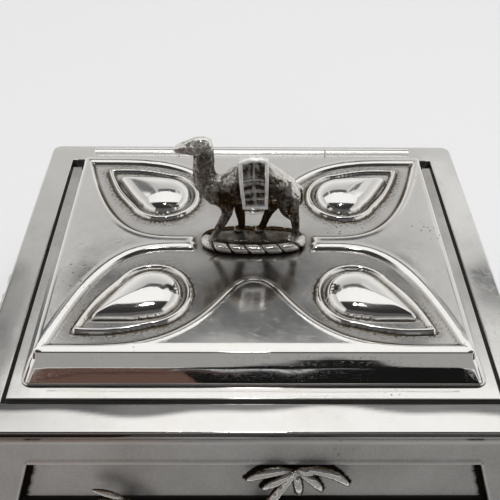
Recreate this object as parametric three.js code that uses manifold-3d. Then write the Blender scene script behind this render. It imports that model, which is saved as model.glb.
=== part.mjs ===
// Trinket box: silver sheet over a wooden carcass, with a hinged lid in relief and a camel finial.
// Millimetres, +Z up, origin at the middle of the underside, front towards -Y.
import * as THREE from "three";
import { mergeVertices } from "three/addons/utils/BufferGeometryUtils.js";
import Module from "manifold-3d";

const wasm = await Module();
wasm.setup();

// Case
const bodyHeight = 38; // underside to the top of the rim
const rimLength = 100;
const rimDepth = 81.4;
const rimBorder = 5.85; // width of the flat frame round the mouth
const rimThick = 1.6;
const rimCorner = 2;
const edgeRound = 0.5;
const wallFlare = 0.33; // outward run for each millimetre of drop
const wallThick = 2.6;
const baseThick = 1.2;
const baseLip = 0.8; // base plate beyond the foot of the walls
const boardThick = 6.4; // carcass boards, measured level
const floorThick = 4;
const slopeFit = 0.3; // between pieces that meet on a slope
const mitreFit = 0.3; // between neighbours at a mitred corner

// Sunk panel of each wall, with a bank of sand below its horizon
const panelDrop = 5.6; // from the top of the wall to the panel
const panelSide = 12.4; // plain border beside the panel
const panelFoot = 5.5; // plain border below the panel
const panelDepth = 1.6;
const horizonDrop = 9; // from the top of the panel to the horizon
const bankRise = 1.1; // how far the sand stands off the panel
const bankRound = 4; // drop in which the sand reaches that height

// Lid
const lidGap = 0.78; // between the flange and the mouth
const flangeProud = 0.2; // flange above the rim
const flangeLap = 2.4; // flange inside the foot of the band
const lidRise = 6.74; // plateau above the rim
const lidSideMargin = 4.9; // plateau edge to the mouth at the sides
const lidFrontMargin = 5.5;
const lidBackMargin = 7.4;
const bandTaper = 2.25; // outward run of the band from top to foot
const bandThick = 1;
const lidCorner = 1.4;
const lidEdgeRound = 1.4;
const capThick = 1.6; // lid top, over its plain fields
const sunkDepth = 0.8; // petals below the plain fields
const sunkWall = 0.5; // run of the sloping edge of a petal
const petalBorder = 1.6; // plain border outside the petal tips
const sideApex = [13, 1]; // blunt inner end of the side fields
const frontApex = [3, 10.5]; // blunt inner end of the front and back fields
const sidePower = 3.5; // how sharply the side fields open out
const frontPower = 4;
const bossInset = [20, 14.2]; // round end of the boss from the plateau edges
const bossTipInset = [9.4, 8.1];
const bossRadius = 5.6;
const bossHeight = 3;
const bossSheet = 0.7;
const bossTipSheet = 1.6; // thickening of that sheet towards the tip
const bossFoot = 0.1; // foot of boss and ridge above the sunk ground
const dropBulge = 0.05; // swell of the flanks of a drop, by its length
const ridgeTipInset = [7.2, 5.6];
const ridgeRadius = 7.3;
const ridgeWidth = 1.7;
const ridgeHeight = 1;

// Hinge
const hingeEndGap = 5.9; // end of the barrel to the side of the mouth
const hingeRadius = 1.5;
const lidKnuckleShare = 0.46; // of the length of the barrel
const knuckleGap = 0.3;
const hingeLift = 0.35; // barrel clear of the rim
const hingeInset = 0.25; // axis inside the edge of the mouth
const pinRadius = 0.75;
const pinFit = 0.2;
const leafThick = 0.7;
const leafReach = 3; // lid leaf in front of the axis
const footReach = 1.7; // fixed knuckle foot behind the axis
const notchLength = 7.2; // flange cut away beside the hinge

// Finial
const plinthLength = 17.2; // raised core
const plinthDepth = 3.4;
const plinthHeight = 2.3;
const plinthFoot = 0.3; // thin foot that carries the twisted border
const plinthBevel = 0.2;
const plinthSquare = 0.8; // below 1 the oval is squarer
const ropeRadius = 0.95;
const ropeFlat = 0.75; // thin way of the twisted pair
const ropeTurns = 6; // whole turns of the pair round the ring
const ropeFit = 0.1;
const studRadius = 1.2;
const studFit = 0.2;
const washerRadius = 3.2;
const washerThick = 0.6;
const nutAcross = 4.6;
const nutThick = 1.8;
const studEnd = 0.5; // stud past the nut

// Palms on the panels
const palmStandOff = 0.2; // casting clear of the panel
const palmRelief = 3.6; // crown off the panel
const trunkTop = 0.75;
const trunkFoot = 1.15;
const trunkBow = 1;
// Fronds from the heart of the crown: tip and bend, along and up the wall.
const fronds = [
  { tip: [-7.9, -2.5], bend: [-4.4, 1.7] },
  { tip: [-5.2, -4.5], bend: [-2.7, -0.8] },
  { tip: [1, -5.8], bend: [0.6, -1.5] },
  { tip: [4.8, -5], bend: [2.9, -0.1] },
  { tip: [3.2, -1.8], bend: [1.9, 1.8] },
  { tip: [9.2, -3.6], bend: [5.5, 2.3] },
];
const frondWidth = 1; // half width
const frondThick = 0.5;
const frondEnd = 0.3; // share of the width left at both ends
const crownShare = 0.55; // heart of the crown, as a share of the relief
const bendShare = 0.95; // bend of a frond off the panel, as a share of the relief
const heartRadius = 1;
const crownDrop = 1; // crown below the top of the panel
const sideCrownDrop = 2;
const smallCrownDrop = 7.6;
const smallCrownTurn = -0.6; // crown of the small palm turned in the plane of the wall
const trunkRest = 1.5; // foot of the trunk above the foot of the panel

const beyond = 1; // cutting shapes run past the surface

// Heights and half sizes that follow from the dimensions above
const rimTop = bodyHeight;
const wallTop = rimTop - rimThick;
const wallDrop = wallTop - baseThick;
const slopeStretch = Math.hypot(1, wallFlare);
const mouth = [rimLength / 2 - rimBorder, rimDepth / 2 - rimBorder];
const flare = (z) => wallFlare * (wallTop - z);
const plateauTop = rimTop + lidRise;
const capBottom = plateauTop - capThick;
const sunkFloor = plateauTop - sunkDepth;
const flangeTop = rimTop + flangeProud;
const plateauHalf = [mouth[0] - lidSideMargin, mouth[1] - (lidFrontMargin + lidBackMargin) / 2];
const plateauY = (lidFrontMargin - lidBackMargin) / 2;
const hingeLength = 2 * (mouth[0] - hingeEndGap);
const hingeY = mouth[1] - hingeInset;
const hingeZ = rimTop + hingeLift + hingeRadius;

const metal = (color, roughness) =>
  new THREE.MeshStandardMaterial({ color, roughness, metalness: 1 });
const polishedSilver = metal(0xd8d5cf, 0.16);
const wallSilver = metal(0xb9b6b0, 0.28);
const agedSilver = metal(0x6f665c, 0.4);
const fittingBrass = metal(0xb59a5a, 0.35);
const cedar = new THREE.MeshStandardMaterial({ color: 0x6e4529, roughness: 0.7, metalness: 0 });

const box = new THREE.Group();

function addPiece(parent, name, geometry, material) {
  const mesh = new THREE.Mesh(geometry, material);
  mesh.name = name;
  parent.add(mesh);
  return mesh;
}

function toSolid(geometry) {
  const bare = geometry.clone();
  bare.deleteAttribute("normal");
  bare.deleteAttribute("uv");
  const merged = mergeVertices(bare, 1e-4);
  const vertProperties = merged.attributes.position.array;
  const triVerts = new Uint32Array(merged.index.array);
  return new wasm.Manifold(new wasm.Mesh({ numProp: 3, vertProperties, triVerts }));
}

function toGeometry(solid) {
  const { vertProperties, triVerts } = solid.getMesh();
  const geometry = new THREE.BufferGeometry();
  geometry.setAttribute("position", new THREE.BufferAttribute(vertProperties, 3));
  geometry.setIndex(new THREE.BufferAttribute(triVerts, 1));
  geometry.computeVertexNormals();
  return geometry;
}

const join = (geometries) => toGeometry(geometries.map(toSolid).reduce((a, b) => a.add(b)));
const cut = (geometry, tools) =>
  toGeometry(tools.map(toSolid).reduce((a, b) => a.subtract(b), toSolid(geometry)));

// Skin over rings of equally many points: capped at both ends, or closed into a loop.
function loft(rings, loop = false) {
  const count = rings[0].length;
  const points = rings.flat();
  const faces = [];
  const steps = loop ? rings.length : rings.length - 1;
  for (let i = 0; i < steps; i++) {
    const a = i * count;
    const b = ((i + 1) % rings.length) * count;
    for (let j = 0; j < count; j++) {
      const k = (j + 1) % count;
      faces.push(a + j, a + k, b + k, a + j, b + k, b + j);
    }
  }
  if (!loop) {
    const cap = (start, ring, forward) => {
      const middle = ring.reduce((sum, p) => sum.add(p), new THREE.Vector3()).divideScalar(count);
      points.push(middle);
      for (let j = 0; j < count; j++) {
        const k = (j + 1) % count;
        const [p, q] = forward ? [j, k] : [k, j];
        faces.push(start + p, start + q, points.length - 1);
      }
    };
    cap(0, rings[0], false);
    cap(steps * count, rings[steps], true);
  }
  if (signedVolume(points, faces) < 0) faces.reverse();
  const geometry = new THREE.BufferGeometry().setFromPoints(points);
  geometry.setIndex(faces);
  geometry.computeVertexNormals();
  return geometry;
}

function signedVolume(points, faces) {
  let sum = 0;
  for (let i = 0; i < faces.length; i += 3) {
    const [a, b, c] = [0, 1, 2].map((k) => points[faces[i + k]]);
    sum += a.dot(new THREE.Vector3().crossVectors(b, c));
  }
  return sum;
}

const point = (x, y, z) => new THREE.Vector3(x, y, z);
const mix = THREE.MathUtils.lerp;

// Level outline of a rectangle with round corners.
function plate(halfX, halfY, corner, z, middleY = 0, steps = 4) {
  const ring = [];
  const radius = Math.max(corner, 0.05);
  const signs = [[1, 1], [-1, 1], [-1, -1], [1, -1]];
  signs.forEach(([sx, sy], quarter) => {
    for (let i = 0; i <= steps; i++) {
      const angle = ((quarter + i / steps) * Math.PI) / 2;
      const x = sx * (halfX - radius) + radius * Math.cos(angle);
      const y = sy * (halfY - radius) + radius * Math.sin(angle);
      ring.push(point(x, middleY + y, z));
    }
  });
  return ring;
}

// Rings of a plate whose upper edge is rounded over.
function roundedEdge(halfX, halfY, corner, top, round, middleY = 0, steps = 3) {
  const rings = [];
  for (let i = 0; i <= steps; i++) {
    const angle = ((i / steps) * Math.PI) / 2;
    const inset = round * (1 - Math.cos(angle));
    const z = top - round * (1 - Math.sin(angle));
    rings.push(plate(halfX - inset, halfY - inset, corner - inset, z, middleY));
  }
  return rings;
}

// Round bar through points, with a radius at each and a width factor across the path.
function bar(path, radii, across = 1, sides = 8, steps = path.length * 2 - 1) {
  const route = new THREE.CatmullRomCurve3(path);
  const sizes = new THREE.CatmullRomCurve3(radii.map((r, i) => point(i, r, 0)));
  const rings = [];
  for (let i = 0; i <= steps; i++) {
    const at = route.getPoint(i / steps);
    const along = route.getTangent(i / steps);
    const radius = Math.max(sizes.getPoint(i / steps).y, 0.1);
    const side = point(0, 1, 0).addScaledVector(along, -along.y).normalize();
    const out = new THREE.Vector3().crossVectors(along, side);
    rings.push(ringAt(at, side, radius * across, out, radius, sides));
  }
  return loft(rings);
}

function ringAt(middle, a, sizeA, b, sizeB, sides) {
  return Array.from({ length: sides }, (_, i) => {
    const angle = (2 * Math.PI * i) / sides;
    return middle
      .clone()
      .addScaledVector(a, sizeA * Math.cos(angle))
      .addScaledVector(b, sizeB * Math.sin(angle));
  });
}

const blob = (x, y, z, rx, ry, rz) =>
  new THREE.SphereGeometry(1, 10, 6).scale(rx, ry, rz).translate(x, y, z);

const block = (x0, x1, y0, y1, z0, z1) =>
  new THREE.BoxGeometry(x1 - x0, y1 - y0, z1 - z0).translate(
    (x0 + x1) / 2,
    (y0 + y1) / 2,
    (z0 + z1) / 2,
  );

// Case: base plate, rim, four sides
const footHalf = [rimLength / 2 + flare(baseThick), rimDepth / 2 + flare(baseThick)];
const baseHalf = footHalf.map((half) => half + baseLip);
addPiece(
  box,
  "base_plate",
  loft([
    plate(...baseHalf, rimCorner, 0),
    ...roundedEdge(...baseHalf, rimCorner, baseThick, edgeRound),
  ]),
  wallSilver,
);

const rimHalf = [rimLength / 2, rimDepth / 2];
addPiece(
  box,
  "top_rim",
  loft(
    [
      plate(...rimHalf, rimCorner, wallTop),
      ...roundedEdge(...rimHalf, rimCorner, rimTop, edgeRound),
      plate(mouth[0] + edgeRound / 2, mouth[1] + edgeRound / 2, 0, rimTop),
      plate(...mouth, 0, rimTop - edgeRound / 2),
      plate(...mouth, 0, wallTop),
    ],
    true,
  ),
  polishedSilver,
);

// Sloping slab of one side, mitred at both ends. In the frame of that side, x runs along it and
// -y is outwards.
function sideSlab(halfRun, halfAcross, outset, thick, top, bottom) {
  const ringAtHeight = (z) => {
    const out = flare(z) - outset;
    const outer = halfRun + out - mitreFit / 2;
    const inner = outer - thick;
    const face = halfAcross + out;
    return [
      point(-outer, -face, z),
      point(outer, -face, z),
      point(inner, -face + thick, z),
      point(-inner, -face + thick, z),
    ];
  };
  return loft([ringAtHeight(bottom), ringAtHeight(top)]);
}

const slopeTurn = Math.atan2(1, wallFlare);
const panelHeight = (wallDrop - panelDrop - panelFoot) * slopeStretch;
const panelTopV = -panelDrop * slopeStretch;

// Wall sheet with its sunk panel. On the slope, x runs along the wall, y up it and z out of it.
function wallSheet(halfRun, halfAcross) {
  const slope = new THREE.Matrix4()
    .makeRotationX(slopeTurn)
    .setPosition(0, -halfAcross, wallTop);
  const topHalf = halfRun + wallFlare * panelDrop - panelSide;
  const bottomHalf = topHalf + (wallFlare * panelHeight) / slopeStretch;
  const bottomV = panelTopV - panelHeight;
  const outline = new THREE.Shape();
  outline.moveTo(-bottomHalf, bottomV);
  outline.lineTo(bottomHalf, bottomV);
  outline.lineTo(topHalf, panelTopV);
  outline.lineTo(-topHalf, panelTopV);
  const panel = new THREE.ExtrudeGeometry(outline, { depth: 3 * panelDepth, bevelEnabled: false })
    .translate(0, 0, -panelDepth)
    .applyMatrix4(slope);
  const horizonV = panelTopV - horizonDrop;
  const sand = new THREE.Shape();
  sand.moveTo(bottomV - beyond, -panelDepth - bankRise);
  sand.lineTo(horizonV, -panelDepth - bankRise);
  sand.lineTo(horizonV, -panelDepth);
  sand.quadraticCurveTo(horizonV, bankRise - panelDepth, horizonV - bankRound, bankRise - panelDepth);
  sand.lineTo(bottomV - beyond, bankRise - panelDepth);
  const bank = new THREE.ExtrudeGeometry(sand, {
    depth: 2 * (bottomHalf + beyond),
    bevelEnabled: false,
    curveSegments: 4,
  })
    .translate(0, 0, -bottomHalf - beyond)
    .applyMatrix4(new THREE.Matrix4().makeBasis(point(0, 1, 0), point(0, 0, 1), point(1, 0, 0)))
    .applyMatrix4(slope);
  const sheet = sideSlab(halfRun, halfAcross, 0, wallThick, wallTop, baseThick);
  return cut(sheet, [cut(panel, [bank])]);
}

// One frond: a blunt leaf on a bowed line off the panel.
function frond({ tip, bend }, size, turn) {
  const place = ([along, up], off) =>
    point(along * size, up * size, off).applyAxisAngle(point(0, 0, 1), turn);
  const line = new THREE.QuadraticBezierCurve3(
    point(0, 0, crownShare * palmRelief),
    place(bend, bendShare * palmRelief),
    place(tip, bankRise + frondThick),
  );
  const steps = 4;
  const rings = [];
  for (let i = 0; i <= steps; i++) {
    const t = i / steps;
    const along = line.getTangent(t);
    const side = new THREE.Vector3().crossVectors(point(0, 0, 1), along).normalize();
    const out = new THREE.Vector3().crossVectors(along, side);
    const fullness = mix(frondEnd, 1, Math.sqrt(Math.sin(Math.PI * t)));
    const halfWidth = frondWidth * size * fullness;
    rings.push(ringAt(line.getPoint(t), side, halfWidth, out, frondThick * fullness, 6));
  }
  return loft(rings);
}

// Applied palm: crown of fronds on a leaning trunk, on the slope of a wall.
function palm(crown, foot, size, turn) {
  const lift = palmStandOff - panelDepth;
  const pieces = fronds.map((leaf) => frond(leaf, size, turn).translate(...crown, lift));
  const top = point(...crown, lift + crownShare * palmRelief);
  const bottom = point(...foot, lift + bankRise + trunkFoot * size);
  const bow = top.clone().lerp(bottom, 0.5).add(point(-trunkBow * size, 0, 0));
  const route = new THREE.CatmullRomCurve3([top, bow, bottom]);
  const steps = 7;
  const rings = [];
  for (let i = 0; i <= steps; i++) {
    const radius = size * mix(trunkTop, trunkFoot, i / steps);
    rings.push(ringAt(route.getPoint(i / steps), point(1, 0, 0), radius, point(0, 0, 1), radius, 6));
  }
  pieces.push(loft(rings));
  const heart = heartRadius * size;
  pieces.push(blob(...top, heart, heart, heart));
  return join(pieces);
}

const trunkRestV = panelTopV - panelHeight + trunkRest;
// Palms of each side: crown and foot along the wall as shares of its half length, crown drop, size, turn.
const sides = [
  {
    name: "front",
    turn: 0,
    palms: [
      ["front_palm", 0.14, -0.08, crownDrop, 1.05, 0],
      ["front_small_palm", -0.458, -0.4, smallCrownDrop, 0.72, smallCrownTurn],
    ],
  },
  { name: "right", turn: Math.PI / 2, palms: [["right_palm", 0.012, -0.086, sideCrownDrop, 1, 0]] },
  { name: "back", turn: Math.PI, palms: [["back_palm", 0.08, -0.04, sideCrownDrop, 1, 0]] },
  { name: "left", turn: -Math.PI / 2, palms: [["left_palm", 0.037, 0.123, sideCrownDrop, 1, 0]] },
];

const boardOutset = wallThick + slopeFit;
for (const { name, turn, palms } of sides) {
  const along = name === "front" || name === "back" ? 0 : 1;
  const [halfRun, halfAcross] = [rimHalf[along], rimHalf[1 - along]];
  const side = new THREE.Group();
  side.rotation.z = turn;
  box.add(side);
  addPiece(side, `${name}_wall`, wallSheet(halfRun, halfAcross), wallSilver);
  const board = sideSlab(halfRun, halfAcross, boardOutset, boardThick, wallTop, baseThick);
  addPiece(side, `${name}_board`, board, cedar);
  const slope = new THREE.Group();
  slope.position.set(0, -halfAcross, wallTop);
  slope.rotation.x = slopeTurn;
  side.add(slope);
  for (const [palmName, crownAt, footAt, drop, size, crownTurn] of palms) {
    const crown = [crownAt * halfRun, panelTopV - drop];
    const tree = palm(crown, [footAt * halfRun, trunkRestV], size, crownTurn);
    addPiece(slope, palmName, tree, polishedSilver);
  }
}

const floorOutset = boardOutset + boardThick + slopeFit;
const floorAt = (z) => {
  const out = flare(z) - floorOutset;
  return plate(rimHalf[0] + out, rimHalf[1] + out, 0, z);
};
addPiece(box, "floor_board", loft([floorAt(baseThick), floorAt(baseThick + floorThick)]), cedar);

// Lid: flange, tapered band and the top in relief
const lid = new THREE.Group();
box.add(lid);
const bandTop = plateauHalf;
const bandFoot = plateauHalf.map((half) => half + bandTaper);
const bandRings = (inset) => [
  plate(bandFoot[0] - inset, bandFoot[1] - inset, lidCorner - inset, flangeTop, plateauY),
  plate(bandTop[0] - inset, bandTop[1] - inset, lidCorner - inset, capBottom, plateauY),
];
const band = loft([...bandRings(0), ...bandRings(bandThick).reverse()], true);
addPiece(lid, "lid_band", band, polishedSilver);

const flangeHalf = mouth.map((half) => half - lidGap);
const flangeHole = bandFoot.map((half) => half - bandThick - flangeLap);
const flangeBottom = wallTop; // the flange rests on the tops of the boards
const flangeFrame = loft(
  [
    plate(...flangeHalf, 0, flangeBottom),
    plate(...flangeHalf, 0, flangeTop),
    plate(...flangeHole, 0, flangeTop, plateauY),
    plate(...flangeHole, 0, flangeBottom, plateauY),
  ],
  true,
);
const notches = [-1, 1].map((s) => {
  const ends = [s * (hingeLength / 2 + knuckleGap), s * (flangeHalf[0] + beyond)];
  const [x0, x1] = ends.sort((a, b) => a - b);
  const [y0, y1] = [flangeHalf[1] - notchLength, flangeHalf[1] + beyond];
  return block(x0, x1, y0, y1, flangeBottom - beyond, flangeTop + beyond);
});
addPiece(lid, "lid_flange", cut(flangeFrame, notches), polishedSilver);

// The sunk ground of the lid: four petals that run together in the middle.
function petalGround() {
  const tip = plateauHalf.map((half) => half - petalBorder);
  const quarter = [];
  const steps = 10;
  for (let i = 0; i <= steps; i++) {
    const u = Math.pow(i / steps, 1.4);
    const rise = 1 - Math.pow(1 - u, frontPower);
    quarter.push([mix(frontApex[0], tip[0], u), mix(frontApex[1], tip[1], rise)]);
  }
  for (let i = steps - 1; i >= 0; i--) {
    const u = Math.pow(i / steps, 0.8);
    quarter.push([mix(sideApex[0], tip[0], u), mix(sideApex[1], tip[1], Math.pow(u, sidePower))]);
  }
  const outline = [];
  for (const [sx, sy] of [[1, 1], [1, -1], [-1, -1], [-1, 1]]) {
    const part = quarter.map(([x, y]) => new THREE.Vector2(sx * x, sy * y));
    outline.push(...(sx * sy > 0 ? part : part.reverse()));
  }
  return new THREE.Shape(outline);
}

// Level outline of a drop: a round end, and sides that run to a tip.
function drop(tip, middle, radius, z) {
  const toTip = tip.clone().sub(middle);
  const heading = toTip.angle();
  const open = Math.acos(Math.min(radius / toTip.length(), 1));
  const ring = [point(tip.x, tip.y, z)];
  const arcSteps = 12;
  const sideSteps = 4;
  const edge = (angle) =>
    new THREE.Vector2(Math.cos(angle), Math.sin(angle)).multiplyScalar(radius).add(middle);
  const bulge = dropBulge * toTip.length();
  const flank = (angle, t, turn) => {
    const push = new THREE.Vector2(0, turn * bulge * Math.sin(Math.PI * t));
    return tip.clone().lerp(edge(angle), t).add(push.rotateAround(new THREE.Vector2(), heading));
  };
  for (let i = 1; i < sideSteps; i++) ring.push(flank(heading + open, i / sideSteps, 1));
  for (let i = 0; i <= arcSteps; i++) {
    ring.push(edge(mix(heading + open, heading + 2 * Math.PI - open, i / arcSteps)));
  }
  for (let i = sideSteps - 1; i > 0; i--) ring.push(flank(heading - open, i / sideSteps, -1));
  return ring.map((p) => point(p.x, p.y, z));
}

// Rings of one boss inside its ridge, from the outer foot of the ridge to the top of the boss.
function bossRings(sx, sy) {
  const corner = new THREE.Vector2(sx * plateauHalf[0], plateauY + sy * plateauHalf[1]);
  const inset = ([x, y]) => corner.clone().sub(new THREE.Vector2(sx * x, sy * y));
  const middle = inset(bossInset);
  const ridgeTip = inset(ridgeTipInset);
  const bossTip = inset(bossTipInset);
  const rings = [];
  const ridgeAt = (across, height) => {
    const tip = middle.clone().lerp(ridgeTip, 1 - across / ridgeRadius);
    rings.push(drop(tip, middle, ridgeRadius - across, sunkFloor + height));
  };
  ridgeAt(-ridgeWidth / 2, -sunkDepth / 2);
  const ridgeSteps = 4;
  for (let i = 0; i <= ridgeSteps; i++) {
    const t = i / ridgeSteps;
    ridgeAt(ridgeWidth * (t - 0.5), mix(bossFoot, ridgeHeight, Math.sin(Math.PI * t)));
  }
  const domeAt = (angle, sheet) => {
    const size = Math.cos(angle);
    const reach = size * (1 - (bossTipSheet * sheet) / bossRadius);
    const height = bossFoot + (bossHeight - sheet) * Math.sin(angle);
    const radius = (bossRadius - sheet) * size;
    return drop(middle.clone().lerp(bossTip, reach), middle, radius, sunkFloor + height);
  };
  const domeSteps = 6;
  const domeAngle = (i) => ((i / domeSteps) * Math.PI) / 2;
  for (let i = 0; i < domeSteps; i++) rings.push(domeAt(domeAngle(i), 0));
  const hollow = [domeAt(0, bossSheet).map((p) => p.setZ(capBottom - capThick))];
  for (let i = 0; i < domeSteps - 1; i++) hollow.push(domeAt(domeAngle(i), bossSheet));
  return { rings, hollow };
}

const capEdge = roundedEdge(...plateauHalf, lidCorner, plateauTop, lidEdgeRound, plateauY);
const capBlank = loft([plate(...plateauHalf, lidCorner, capBottom, plateauY), ...capEdge]);
const ground = new THREE.ExtrudeGeometry(petalGround(), {
  depth: 1,
  bevelThickness: sunkDepth,
  bevelSize: sunkWall,
  bevelSegments: 2,
}).translate(0, plateauY, sunkFloor + sunkDepth);
const corners = [[1, 1], [-1, 1], [-1, -1], [1, -1]];
const bosses = corners.map(([sx, sy]) => bossRings(sx, sy));
const studBore = studRadius + studFit;
const studHole = new THREE.CylinderGeometry(studBore, studBore, 4 * capThick, 16)
  .rotateX(Math.PI / 2)
  .translate(0, plateauY, capBottom);
const sunkCap = cut(capBlank, [ground]);
const raisedCap = join([sunkCap, ...bosses.map(({ rings }) => loft(rings))]);
const lidTop = cut(raisedCap, [studHole, ...bosses.map(({ hollow }) => loft(hollow))]);
addPiece(lid, "lid_top", lidTop, polishedSilver);

// Finial: oval plinth with a twisted border, camel, and its stud, washer and nut under the lid
const finial = new THREE.Group();
finial.position.set(0, plateauY, sunkFloor);
lid.add(finial);

const oval = (grow, z, steps = 32) =>
  Array.from({ length: steps }, (_, i) => {
    const angle = (2 * Math.PI * i) / steps;
    const bow = (c) => Math.sign(c) * Math.pow(Math.abs(c), plinthSquare);
    return point(
      (plinthLength / 2 + grow) * bow(Math.cos(angle)),
      (plinthDepth / 2 + grow) * bow(Math.sin(angle)),
      z,
    );
  });
const footGrow = ropeFit + ropeRadius;
const plinthRings = [
  oval(footGrow, 0),
  oval(footGrow, plinthFoot),
  oval(0, plinthFoot),
  oval(0, plinthHeight - plinthBevel),
  oval(-plinthBevel, plinthHeight),
];
addPiece(finial, "plinth", loft(plinthRings), agedSilver);

// Twisted wire round the plinth: a flattened section that turns as it goes.
const ropeSteps = 72;
const ropePath = oval(ropeFit + ropeRadius, plinthFoot + ropeFit + ropeRadius, ropeSteps);
const ropeRings = ropePath.map((middle, i) => {
  const before = ropePath[(i + ropeSteps - 1) % ropeSteps];
  const after = ropePath[(i + 1) % ropeSteps];
  const along = after.clone().sub(before).normalize();
  const out = new THREE.Vector3().crossVectors(along, point(0, 0, 1));
  const twist = (ropeTurns * 2 * Math.PI * i) / ropeSteps;
  const wide = point(0, 0, Math.sin(twist)).addScaledVector(out, Math.cos(twist));
  const thin = new THREE.Vector3().crossVectors(along, wide);
  return ringAt(middle, wide, ropeRadius, thin, ropeRadius * ropeFlat, 8);
});
addPiece(finial, "rope_border", loft(ropeRings, true), polishedSilver);

// Camel, walking towards -X. Its own heights are above the plinth.
// Stations of the trunk: place along x, back line, belly line, half width.
const trunkStations = [
  [-10.3, 12.5, 11.3, 0.6],
  [-8.8, 15, 9, 1.8],
  [-6.2, 15.2, 7.9, 2.4],
  [-3.4, 17.7, 8, 2.5],
  [0, 18.8, 8.3, 2.5],
  [3, 17.9, 8.4, 2.5],
  [6.4, 14.9, 8.3, 2.4],
  [8.3, 12.6, 9, 1.6],
  [8.9, 11.4, 10, 0.6],
];
const humpNarrow = 0.32; // share of the width lost at the back line
const trunkLines = new THREE.CatmullRomCurve3(
  trunkStations.map(([x, back, belly]) => point(x, back, belly)),
);
const trunkWidths = new THREE.CatmullRomCurve3(trunkStations.map(([x, , , half]) => point(x, half, 0)));

// Section of the trunk, narrower towards the hump.
function trunkRing(t, grow, sides = 12) {
  const { x, y: top, z: bottom } = trunkLines.getPoint(t);
  const half = trunkWidths.getPoint(t).y + grow;
  const middle = (top + bottom) / 2;
  const rise = (top - bottom) / 2 + grow;
  return Array.from({ length: sides }, (_, i) => {
    const angle = (2 * Math.PI * i) / sides;
    const height = Math.sin(angle);
    const narrow = 1 - humpNarrow * Math.max(height, 0) ** 2;
    return point(x, half * narrow * Math.cos(angle), middle + rise * height);
  });
}

const clothSpan = [0.4, 0.61]; // along the trunk
const clothHem = 9.6;
const clothThick = 0.35;
const clothBorder = 0.22; // border proud of the cloth
const clothBorderSpan = 0.025;

// Saddle cloth: follows the hump, then hangs straight to its hem.
function cloth(from, to, grow, hem) {
  const rings = [from, (from + to) / 2, to].map((t) => {
    const over = trunkRing(t, grow, 16).filter((p, i) => i <= 8);
    const left = over[8];
    const right = over[0];
    return [...over, point(left.x, left.y, hem), point(right.x, right.y, hem)];
  });
  return loft(rings);
}

// Legs: side of the body, stations from hip to foot as [x, z], half thickness at hip and thigh.
const legHalfGap = 1.4;
const hipGap = 0.85; // share of that gap at the hip
const shinSizes = [1, 0.75, 0.8]; // knee, fetlock, ankle
const legAcross = 0.78;
const footSize = [1.15, 0.85, 0.5];
const toeReach = 0.35;
const legs = [
  { y: -1, route: [[-5.6, 10.6], [-5.2, 7.6], [-5.7, 5.6], [-7.4, 2], [-8, 0.5]], hip: 1.9, thigh: 1.2 },
  { y: 1, route: [[-3.8, 10.6], [-3.1, 7.6], [-2.7, 5.2], [-2.4, 2], [-2.6, 0.5]], hip: 1.8, thigh: 1.1 },
  { y: 1, route: [[5, 11.4], [3.9, 8], [3, 5.2], [2, 2], [1.6, 0.5]], hip: 2.3, thigh: 1.7 },
  { y: -1, route: [[6.5, 11.6], [6.7, 8.4], [7.9, 5.6], [8.3, 2], [8.1, 0.5]], hip: 2.5, thigh: 2 },
];
function leg({ y, route, hip, thigh }) {
  const last = route.length - 1;
  const path = route.map(([x, z], i) => point(x, y * legHalfGap * mix(hipGap, 1, i / last), z));
  return [
    bar(path, [hip, thigh, ...shinSizes], legAcross, 8),
    blob(path[last].x - toeReach, path[last].y, footSize[2], ...footSize),
  ];
}

const inProfile = (line) => line.map(([x, z]) => point(x, 0, z));
const neckPath = [[-6.6, 11.6], [-8.8, 13.6], [-9.4, 16.6], [-9.2, 19.4], [-8.9, 21.9]];
const neckSizes = [3.2, 2.6, 2, 1.9, 1.6];
const neckAcross = 0.8;
const headPath = [
  [-7.7, 21.8],
  [-8.9, 22.05],
  [-10.6, 21.85],
  [-12.4, 21.6],
  [-14.1, 21.3],
  [-14.8, 21.15],
];
const headSizes = [0.8, 1.85, 1.7, 1.2, 0.65, 0.3];
const headAcross = 0.78;
const earPlace = [-8, 1.1, 22.9];
const earSize = [0.5, 0.4, 0.4];
const tailPath = [[8.2, 12.9], [9, 11.2], [8.9, 8.2]];
const tailSizes = [0.5, 0.4, 0.55];
const borderThick = clothThick + clothBorder;
const trunkSteps = 16;
const camelPieces = [
  loft(Array.from({ length: trunkSteps + 1 }, (_, i) => trunkRing(i / trunkSteps, 0))),
  bar(inProfile(neckPath), neckSizes, neckAcross, 10),
  bar(inProfile(headPath), headSizes, headAcross, 10),
  ...[-1, 1].map((s) => blob(earPlace[0], s * earPlace[1], earPlace[2], ...earSize)),
  ...legs.flatMap(leg),
  bar(inProfile(tailPath), tailSizes, 1, 6),
  cloth(clothSpan[0], clothSpan[1], clothThick, clothHem),
  cloth(clothSpan[0], clothSpan[0] + clothBorderSpan, borderThick, clothHem),
  cloth(clothSpan[1] - clothBorderSpan, clothSpan[1], borderThick, clothHem),
];
const camel = addPiece(finial, "camel", join(camelPieces), agedSilver);
camel.position.z = plinthHeight;

const standing = (radius, z0, z1, sides) =>
  new THREE.CylinderGeometry(radius, radius, z1 - z0, sides)
    .rotateX(Math.PI / 2)
    .translate(0, 0, (z0 + z1) / 2);
const washerTop = capBottom - sunkFloor;
const nutTop = washerTop - washerThick;
addPiece(finial, "finial_stud", standing(studRadius, nutTop - nutThick - studEnd, 0, 16), fittingBrass);
const bore = standing(studBore, nutTop - nutThick - beyond, washerTop + beyond, 16);
const washer = cut(standing(washerRadius, nutTop, washerTop, 24), [bore]);
addPiece(finial, "finial_washer", washer, fittingBrass);
const nut = cut(standing(nutAcross / Math.sqrt(3), nutTop - nutThick, nutTop, 6), [bore]);
addPiece(finial, "finial_nut", nut, fittingBrass);

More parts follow.
